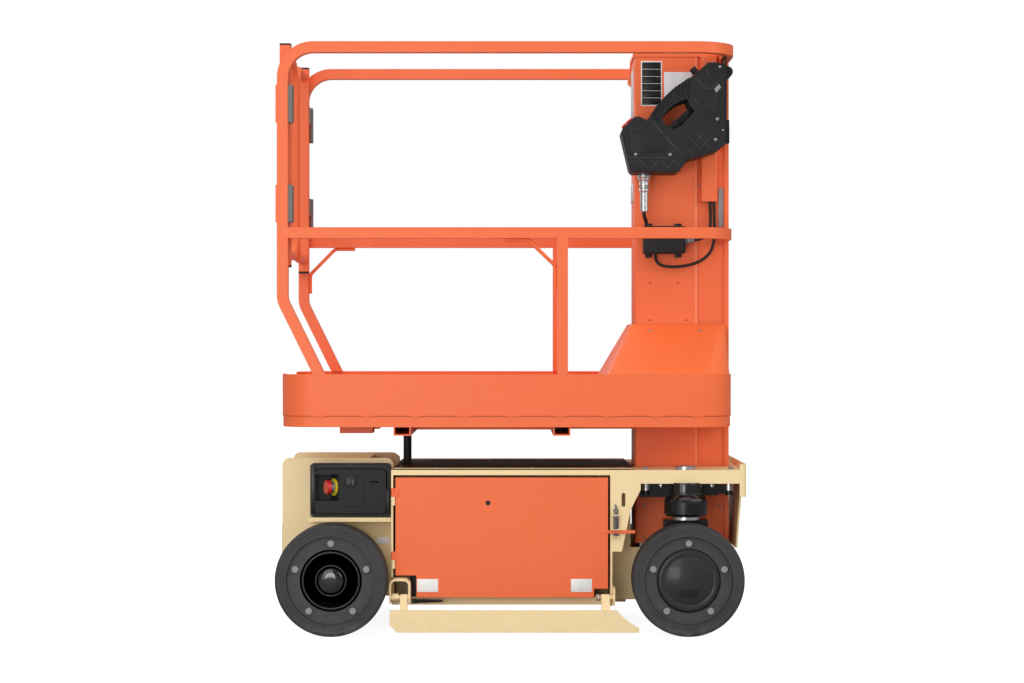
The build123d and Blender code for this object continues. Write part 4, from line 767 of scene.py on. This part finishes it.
entryPlace, rearPlace = toeValues["entry"] / 1000 - 0.001, toeValues["rear"] / 1000 + 0.001
pick(seam, "FACE", lambda face: face.calc_center_median().x < rearPlace
     and abs(face.calc_center_median().y) < entryPlace)
bpy.ops.mesh.delete(type="FACE")
done(seam)
thicken = seam.modifiers.new("proud", "SOLIDIFY")
thicken.thickness = toeValues["proud"] / 1000
thicken.offset = 1.0
alone(seam)
bpy.ops.object.modifier_apply(modifier=thicken.name)
finished(seam, seamShadePaint, "platform", 50)
boxGroup("toe_board_stitches",
         [((x - toeValues["stitchHalf"], side * (toeValues["half"] - 0.2), toeValues["seam"] - 3.0),
           (x + toeValues["stitchHalf"], side * (toeValues["half"] + 0.6), toeValues["seam"] + 0.6), 0.5)
          for side in (1, -1) for x in toeValues["stitches"]], orangePaint, "platform")

gateValues = {"hingeX": -643.25, "hingeY": 299.25, "bands": ((1202.0, 1310.0), (1493.0, 1601.0)),
              "leafX": (-680.0, -648.25), "leafY": (263.5, 295.25), "caps": ((1722.0, 1727.6), (1072.4, 1078.0))}
for sideName, side, facing in sides:
    fixedParts, movingParts = [], []
    for low, high in gateValues["bands"]:
        middle = (low + high) / 2
        fixedParts.append(boxed("hingeLeaf", (-652.2, side * 299.6, low - 1.2), (-640.4, side * 332.0, middle - 0.5),
                                1.4))
        fixedParts.append(boxed("hingeShield", (-652.2, side * 330.6, low - 1.2), (-639.2, side * 332.4, high + 1),
                                0.8))
        barrel = [(5.0, 0), (5.8, 0.8), (5.8, middle - low - 1.2), (5.4, middle - low - 0.6)]
        fixedParts.append(moved(turned("hingeBarrel", barrel, 24),
                                (gateValues["hingeX"], side * gateValues["hingeY"], low)))
        movingParts.append(moved(turned("hingeBarrel", barrel, 24),
                                 (gateValues["hingeX"], side * gateValues["hingeY"], middle + 0.8)))
        movingParts.append(boxed("hingeLeaf", (-648.2, side * 267.4, middle + 0.8),
                                 (-642.7, side * 299.0, high + 0.4), 1.0))
    finished(joined(f"gate_hinge_fixed_{sideName}", fixedParts), hingeGrey, "platform")
    finished(joined(f"gate_hinge_moving_{sideName}", movingParts), hingeGrey, f"gate_{sideName}")
    (leafLow, leafHigh), (innerY, outerY) = gateValues["leafX"], gateValues["leafY"]
    boxGroup(f"gate_tube_caps_{sideName}",
             [((leafLow - 0.5, side * (innerY - 0.5), capLow), (leafHigh + 0.5, side * (outerY + 0.5), capHigh), 1.2)
              for capLow, capHigh in gateValues["caps"]], blackPlastic, f"gate_{sideName}")
print("toe board and gates dressed")


# hub skins: pressed rings in black recesses with their grooves near-black as painted shade, a glossy cap at the rear, a
# flat drive disc at the front
hubSkins = {
    "rear": [
        ("groove", [(90.4, -11.8), (90.4, -10.6), (89.6, -10.4), (78.4, -10.4), (77.8, -9.4)]),
        ("band", [(84.6, -11.4), (84.6, -1.6), (83.6, -0.4), (81.8, 0.2), (80.0, -0.2), (78.8, -1.4), (78.6, -4.0),
                  (76.4, -4.0), (76.0, -5.2)]),
        ("disc", [(75.4, -11.4), (75.4, -3.0), (74.4, -2.2), (47.6, -2.2), (46.8, -3.0), (46.8, -9.0)]),
        ("ring", [(46.0, -9.0), (45.6, 0.0), (44.4, 1.2), (42.8, 1.2), (41.6, 0.0), (41.2, -3.4), (30.0, -3.4)]),
        ("cap", [(37.6, -4.2), (37.6, -1.0), (36.6, 2.4), (34.2, 5.2), (29.6, 7.4), (22.0, 8.9), (13.0, 9.5),
                 (5.0, 9.6)]),
    ],
    "front": [
        ("groove", [(92.6, -0.6), (92.6, 0.45), (91.8, 0.5), (85.0, 0.5)]),
        ("band", [(88.2, -0.6), (88.2, 3.4), (86.6, 6.0), (85.4, 6.7), (73.0, 6.7), (72.0, 6.0), (71.8, 4.2)]),
        ("disc", [(70.0, 1.0), (70.0, 4.6), (69.2, 5.2), (3.0, 5.2)]),
    ],
}
hubFinish = {"groove": paintedShadeBlack, "band": hubPaint, "disc": hubPaint, "ring": hubPaint, "cap": capGloss}
rimGroove = [(129.0, -1.2), (129.0, 0.35), (127.2, 0.35), (126.8, -1.2)]
for end, axleX in wheelValues["axles"].items():
    for sideName, side, facing in sides:
        place = (axleX, side * wheelValues["face"], tyreRadius)
        for partName, profile in hubSkins[end]:
            skin = moved(turned(f"hub_{partName}_{end}_{sideName}", profile, 96), place, outward[facing])
            finished(skin, hubFinish[partName], f"wheel_{end}_{sideName}", 40)
        # rim groove near-black as painted shade in the gap between rim and tyre
        groove = moved(turned(f"rim_groove_{end}_{sideName}", rimGroove, 96), place, outward[facing])
        finished(groove, paintedShadeBlack, f"wheel_{end}_{sideName}")

# kingpin barrels: round above, flats below
barrelValues = {
    "place": (511.0, 260.0, 0), "flatsTurn": 20, "round": [(49.0, 405), (49.2, 407), (49.2, 438), (48.4, 440.5)],
    "flats": [(60.5, 344.2), (63.6, 347.0), (64.6, 352.0), (64.6, 386.0), (62.8, 393.0), (53.6, 404.0), (49.0, 407.0)],
}
for sideName, side, facing in sides:
    barrel = turned("barrelRound", barrelValues["round"], 64)
    flats = moved(turned("barrelFlats", barrelValues["flats"], 12), (0, 0, 0), (0, 0, barrelValues["flatsTurn"] * side))
    casting = moved(joined(f"kingpin_barrel_{sideName}", [barrel, flats]), mirrored(barrelValues["place"], side))
    finished(casting, barrelGloss, "chassis", 24)
print("hubs dressed")


# console on the platform: ribbed handles, seams, screws, knob, window, clip
def along(points, share):
    lengths = [math.dist(a, b) for a, b in zip(points, points[1:])]
    rest = share * sum(lengths)
    for (a, b), length in zip(zip(points, points[1:]), lengths):
        if rest <= length:
            return tuple(p + (q - p) * rest / length for p, q in zip(a, b))
        rest -= length
    return points[-1]


def barBetween(name, start, end, width, near, far, bevel):
    length = math.dist(start, end)
    bar = boxed(name, (-length / 2, near, -width / 2), (length / 2, far, width / 2), bevel)
    turn = -math.degrees(math.atan2(end[1] - start[1], end[0] - start[0]))
    return moved(bar, ((start[0] + end[0]) / 2, 0, (start[1] + end[1]) / 2), (0, turn, 0))


consoleValues = {
    "near": -250.0, "far": -135.0, "cheek": 24.0, "ribs": 30, "ribWidth": 2.0,
    "gripOuter": [(410, 1522), (428, 1549), (455, 1578), (482, 1603), (509, 1621), (525, 1632)],
    "gripInner": [(436, 1500), (446, 1519), (460, 1538), (482, 1556), (508, 1568), (519, 1567)],
    "screws": [(364.2, 1406.2), (465.3, 1405.6), (600.0, 1449.8), (605.3, 1510.2), (612.7, 1664.6)],
}
for cheekName, nearFace, farFace in (
        ("near", consoleValues["near"], consoleValues["near"] + consoleValues["cheek"]),
        ("far", consoleValues["far"] - consoleValues["cheek"], consoleValues["far"])):
    ribs, beds = [], []
    for index in range(consoleValues["ribs"]):
        share = (index + 0.5) / consoleValues["ribs"]
        outer = along(consoleValues["gripOuter"], share)
        inner = along(consoleValues["gripInner"], share)
        reach = math.dist(outer, inner)
        outer = tuple(p + (p - q) * 1.1 / reach for p, q in zip(outer, inner))
        inner = tuple(q + (q - p) * 0.8 / reach for p, q in zip(outer, inner))
        ribs.append(barBetween("rib", outer, inner, consoleValues["ribWidth"], nearFace - 1.6, farFace + 1.0, 0.6))
        # beds between the ribs near-black as painted shade in the grooves
        beds.append(barBetween("bed", outer, inner, 6.4, nearFace - 0.5, farFace + 0.4, 0))
    finished(joined(f"console_grip_{cheekName}", ribs), gripRubberAndHighlight, "platform", 40)
    finished(joined(f"console_grip_shade_bed_{cheekName}", beds), paintedShadeBlack, "platform", 40)

seamLines = [
    ((336, 1397), (455, 1397)), ((455, 1397), (482, 1421)), ((411, 1504), (503, 1405)), ((424, 1489), (485, 1421)),
    ((343, 1493), (358, 1475)), ((358, 1475), (381, 1489)), ((343, 1460), (358, 1475)),
    ((499, 1446), (533, 1406)), ((537, 1476), (586, 1423)), ((519, 1460), (548, 1432)), ((543, 1445), (563, 1465)),
    ((553, 1422), (584, 1455)), ((577, 1469), (590, 1457)), ((524, 1414), (545, 1434)),
    ((360, 1376), (376, 1391)), ((376, 1391), (393, 1371)), ((403, 1395), (431, 1368)), ((436, 1391), (462, 1368)),
    ((462, 1368), (477, 1389)), ((477, 1389), (497, 1368)), ((416, 1370), (436, 1391)),
    ((543, 1632), (558, 1613)), ((558, 1613), (576, 1599)), ((576, 1599), (586, 1599)), ((586, 1599), (614, 1627)),
    ((576, 1660), (576, 1637)), ((600, 1584), (598, 1557)), ((598, 1557), (566, 1550)), ((532, 1574), (556, 1552)),
]
seams = [barBetween("seamLine", start, end, 1.2, consoleValues["near"] - 0.55, consoleValues["near"] + 0.4, 0.2)
         for start, end in seamLines]
finished(joined("console_seams", seams), seamGrey, "platform")
raised = [
    boxed("raisedPad", (349, consoleValues["near"] - 1.4, 1412), (452, consoleValues["near"] + 1, 1468), 1.2),
    boxed("raisedPad", (586, consoleValues["near"] - 1.8, 1526), (620, consoleValues["near"] + 1, 1562), 1.2),
    boxed("raisedPad", (540, consoleValues["near"] - 1.2, 1512), (578, consoleValues["near"] + 1, 1524), 1.0),
    moved(boxed("raisedPad", (-18, consoleValues["near"] - 1.6, -5), (18, consoleValues["near"] + 1, 5), 1.0),
          (566, 0, 1540), (0, -42, 0)),
    boxed("clipBlock", (634.2, -207, 1443), (645.6, -180, 1496), 2.0),
    moved(boxed("triggerGuard", (-30, consoleValues["near"] + 2, -2.4), (30, consoleValues["near"] + 18, 2.4), 1.6),
          (497, 0, 1518), (0, -40, 0)),
]
knob = turned("knob", [(7.5, -1.5), (7.5, 2.0), (10.2, 2.6), (10.8, 3.6), (10.8, 9.0), (9.9, 9.7), (9.9, 10.9),
                       (10.8, 11.6), (10.8, 16.6), (9.6, 18.4), (5.0, 18.6), (4.6, 17.8)], 28)
raised.append(moved(knob, (543.5, consoleValues["near"] + 14, 1647.6), (0, -40, 0)))
finished(joined("console_mouldings", raised), blackPlastic, "platform", 34)
window = boxed("console_window", (-10.5, consoleValues["near"] - 0.8, -6), (10.5, consoleValues["near"] + 0.5, 6), 0.5)
edit(window)
pick(window, "VERT", lambda vert: vert.co.z > 0)
bpy.ops.transform.translate(value=mm(3.5, 0, 0))
done(window)
finished(moved(window, (605.2, 0, 1599.4), (0, -50, 0)), windowGrey, "platform")
screwPlaces = [(x, consoleValues["near"], z) for x, z in consoleValues["screws"]]
fasteners("console_screws", panScrew, screwPlaces, "right", zincSteel, "platform", 1.3)
fasteners("console_clip_screw", panScrew, [(621.5, consoleValues["near"], 1478.1)], "right", zincSteel,
          "platform", 0.8)
print("console dressed")

# strain relief, junction box lid and feet, hose cover screws
reliefProfile = [(11.4, 1242.2), (12.3, 1243.4), (12.3, 1300.0), (13.4, 1301.0), (14.9, 1303.0), (15.2, 1306.0),
                 (14.6, 1309.6), (13.2, 1311.0), (13.6, 1315.0), (14.8, 1319.0), (15.0, 1324.0), (14.2, 1329.0),
                 (14.6, 1333.0), (16.8, 1336.6), (17.8, 1338.0), (17.8, 1341.0), (19.4, 1343.0), (20.8, 1345.0),
                 (20.8, 1352.6)]
relief = moved(turned("relief_fitting", reliefProfile, 48), (395, -160, 0))
finished(relief, brightSteel, "platform", 34, ["strain_relief"])
junctionValues = {"x": (394.0, 519.0), "z": (1118.0, 1200.0), "face": -160.0, "footX": (411.0, 495.2),
                  "footZ": (1112.3, 1203.6)}
lid = boxed("junctionLid", (junctionValues["x"][0] + 3, junctionValues["face"] + 1, junctionValues["z"][0] + 3),
            (junctionValues["x"][1] - 3, junctionValues["face"] - 3.4, junctionValues["z"][1] - 3), 2.4, 3)
recessed(lid, lambda face: face.normal.y < -0.99 and face.calc_area() > 0.003, 5.0, 0.6, 1.1)
foot = turned("foot", [(6.2, -4.6), (6.2, 0.6), (5.7, 1.1), (4.0, 1.1), (3.8, -2.5)], 24)
templates.append(foot)
junctionParts = [lid]
footScrews = []
for footX in junctionValues["footX"]:
    for footZ in junctionValues["footZ"]:
        junctionParts.append(copied(foot, (footX, -105.4, footZ), outward["right"]))
        footScrews.append((footX, -105.6, footZ))
finished(joined("junction_box_lid", junctionParts), blackPlastic, "platform", 34)
fasteners("junction_foot_screws", panScrew, footScrews, "right", hingeGrey, "platform", 0.7)
glandNut = turned("gland_nut", [(13.4, 0), (14.2, 0.8), (14.2, 9.6), (13.4, 10.4), (10.2, 11), (10.2, 25),
                                (8.4, 27)], 8)
finished(moved(glandNut, (519.2, -122, 1160), outward["front"]), glandGrey, "platform", 30)
fasteners("hose_cover_screws", panScrew, [(x, -118, z) for x in (580.5, 606.5) for z in (1696.0, 1500.0)], "right",
          zincSteel, "platform", 0.7)
print("junction box dressed")

# deck tread: rows of raised lozenges, alternate ways round
treadValues = {"x": (-630.0, 240.0), "y": (-300.0, 300.0), "floor": 638.0, "pitch": 30.0, "length": 17.0,
               "width": 4.6, "rise": 1.1}
treadBar = boxed("deck_tread_bar", (-treadValues["length"] / 2, -treadValues["width"] / 2, -0.4),
                 (treadValues["length"] / 2, treadValues["width"] / 2, treadValues["rise"]), 0.5, 1)
edit(treadBar)
pick(treadBar, "VERT", lambda vert: abs(vert.co.x) > 0.008)
bpy.ops.transform.resize(value=(1, 0.5, 1), center_override=(0, 0, 0))
done(treadBar)
columns = int((treadValues["x"][1] - treadValues["x"][0]) / treadValues["pitch"])
rows = int((treadValues["y"][1] - treadValues["y"][0]) / treadValues["pitch"])
treadFields = []
for turn, shift in ((45, 0.0), (-45, treadValues["pitch"] / 2)):
    field = copied(treadBar, (0, 0, 0), (0, 0, turn))
    for axis, count in ((0, columns), (1, rows)):
        spread = field.modifiers.new("spread", "ARRAY")
        spread.count = count
        spread.use_relative_offset = False
        spread.use_constant_offset = True
        spread.constant_offset_displace = [treadValues["pitch"] / 1000 if axis == way else 0 for way in range(3)]
        alone(field)
        bpy.ops.object.modifier_apply(modifier=spread.name)
    treadFields.append(moved(field, (treadValues["x"][0] + shift + 10, treadValues["y"][0] + shift + 10,
                                     treadValues["floor"])))
bpy.data.objects.remove(treadBar)
finished(joined("deck_tread", treadFields), treadPaint, "platform")

# chassis cover: flush screws and two pressed ribs
coverValues = {"top": 481.0, "screws": ((-225, 222), (60, 222), (325, 222), (-332, 150)), "ribX": 250,
               "ribY": (161, 179), "edgeX": (-346, 355), "edgeY": (234, 283)}
coverTop, (edgeRear, edgeFront) = coverValues["top"], coverValues["edgeX"]
fasteners("cover_screws", panScrew, [(x, side * y, coverTop) for x, y in coverValues["screws"] for side in (-1, 1)],
          "up", zincSteel, "chassis", 0.9)
(ribNear, ribFar), (edgeNear, edgeFar) = coverValues["ribY"], coverValues["edgeY"]
boxGroup("cover_ribs",
         [((-coverValues["ribX"], side * ribNear, coverTop - 0.5), (coverValues["ribX"], side * ribFar, coverTop + 2.2),
           1.8) for side in (-1, 1)], coverPaint, "chassis", 40)
boxGroup("cover_edge_strips",
         [((edgeRear, side * edgeNear, coverTop - 0.6), (edgeFront, side * edgeFar, coverTop + 0.9), 0.5)
          for side in (1, -1)], creamPaint, "chassis")
print("deck and cover dressed")

for template in templates:
    bpy.data.objects.remove(template)
print("templates put away")

# cords, on the same route as their solids
cordValues = {
    "upper_cable": {
        "points": [(546.6, -122, 1160), (561, -122, 1160), (577.5, -120, 1167), (590, -117, 1179.5),
                   (597, -114, 1196), (598.5, -110, 1225), (597, -107, 1262), (596, -106, 1296)],
        "length": 0.168,
        "piece": "upperHose",
    },
    "lower_cable": {
        "points": [(431, -122, 1117.4), (431, -122, 1103), (439, -123, 1089), (453, -125, 1081.5),
                   (474, -127, 1078.5), (505, -130, 1079.5), (538, -131, 1085), (569, -130, 1097),
                   (593, -127, 1117), (606, -122, 1146), (610, -115, 1185), (609.5, -109, 1238),
                   (608, -106, 1296)],
        "length": 0.378,
        "piece": "lowerHose",
    },
}
cordDiameter = 0.009
for nodeName, values in cordValues.items():
    curve = bpy.data.curves.new(values["piece"], "CURVE")
    curve.dimensions = "3D"
    curve.bevel_depth = cordDiameter / 2
    curve.bevel_resolution = 5
    curve.use_fill_caps = True
    spline = curve.splines.new("NURBS")
    spline.points.add(len(values["points"]) - 1)
    for controlPoint, place in zip(spline.points, values["points"]):
        controlPoint.co = (*[coordinate / 1000 for coordinate in place], 1)
    spline.order_u = 3
    spline.use_endpoint_u = True
    spline.resolution_u = 10
    hose = bpy.data.objects.new(values["piece"], curve)
    bpy.context.scene.collection.objects.link(hose)
    curve.materials.append(cordRubber)
    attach(hose, "platform")
    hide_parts(nodeName)
print("hoses laid")

# studio: pale floor, white surround for the camera, soft lamps
studioValues = {
    "floorSize": 60,
    "floorGrey": 0.42,
    "floorGlow": 0.9,
    "worldLevel": 0.52,
    "mirrorLevel": 0.3,
    "aim": (0, 0, 0.8),
    "lamps": [
        {"name": "frontSoft", "place": (-1.6, -4.6, 3.6), "size": 3.2, "watts": 63},
        {"name": "rightSoft", "place": (3.6, -2.4, 2.6), "size": 2.4, "watts": 46},
        {"name": "topSoft", "place": (0.0, 0.4, 4.6), "size": 3.6, "watts": 50},
        {"name": "backSoft", "place": (-2.6, 3.6, 3.0), "size": 2.6, "watts": 70},
        {"name": "lowSoft", "place": (-1.0, -4.8, 0.72), "size": 1.5, "watts": 42},
        {"name": "leftStrip", "place": (-2.0, -3.4, 1.1), "size": 0.22, "tall": 2.1, "watts": 10},
        {"name": "rightSpark", "place": (1.6, -3.8, 2.3), "size": 0.25, "watts": 3.5},
    ],
}
bpy.ops.mesh.primitive_plane_add(size=studioValues["floorSize"], location=(0, 0, -0.0004))
floor = bpy.context.object
floor.name = "studioFloor"
floorFinish = bpy.data.materials.new("paleFloor")
floorFinish.use_nodes = True
floorTree = floorFinish.node_tree
floorShader = floorTree.nodes["Principled BSDF"]
floorShader.inputs["Base Color"].default_value = (*[studioValues["floorGrey"]] * 3, 1)
floorShader.inputs["Roughness"].default_value = 0.75
floorShader.inputs["Specular IOR Level"].default_value = 0.1
floorPath = addNode(floorTree, "ShaderNodeLightPath")
floorLift = mathOf(floorTree, "MULTIPLY", floorPath.outputs["Is Camera Ray"], studioValues["floorGlow"])
floorShader.inputs["Emission Color"].default_value = (1, 1, 1, 1)
floorTree.links.new(floorLift, floorShader.inputs["Emission Strength"])
floor.data.materials.append(floorFinish)

world = bpy.data.worlds.new("studioWorld")
bpy.context.scene.world = world
world.use_nodes = True
worldTree = world.node_tree
background = worldTree.nodes["Background"]
worldPath = addNode(worldTree, "ShaderNodeLightPath")
worldSeen = mathOf(worldTree, "MULTIPLY", worldPath.outputs["Is Camera Ray"], 1 - studioValues["worldLevel"])
worldShine = mathOf(worldTree, "MULTIPLY", worldPath.outputs["Is Glossy Ray"],
                    studioValues["mirrorLevel"] - studioValues["worldLevel"])
worldLevel = mathOf(worldTree, "ADD", mathOf(worldTree, "ADD", worldSeen, worldShine), studioValues["worldLevel"])
background.inputs["Color"].default_value = (1, 1, 1, 1)
worldTree.links.new(worldLevel, background.inputs["Strength"])
for values in studioValues["lamps"]:
    lampData = bpy.data.lights.new(values["name"], "AREA")
    lampData.size = values["size"]
    if "tall" in values:
        lampData.shape = "RECTANGLE"
        lampData.size_y = values["tall"]
    lampData.energy = values["watts"]
    lamp = bpy.data.objects.new(values["name"], lampData)
    bpy.context.scene.collection.objects.link(lamp)
    lamp.location = values["place"]
    lamp.rotation_euler = (Vector(studioValues["aim"]) - Vector(values["place"])).to_track_quat("-Z", "Y").to_euler()
print("studio lit")
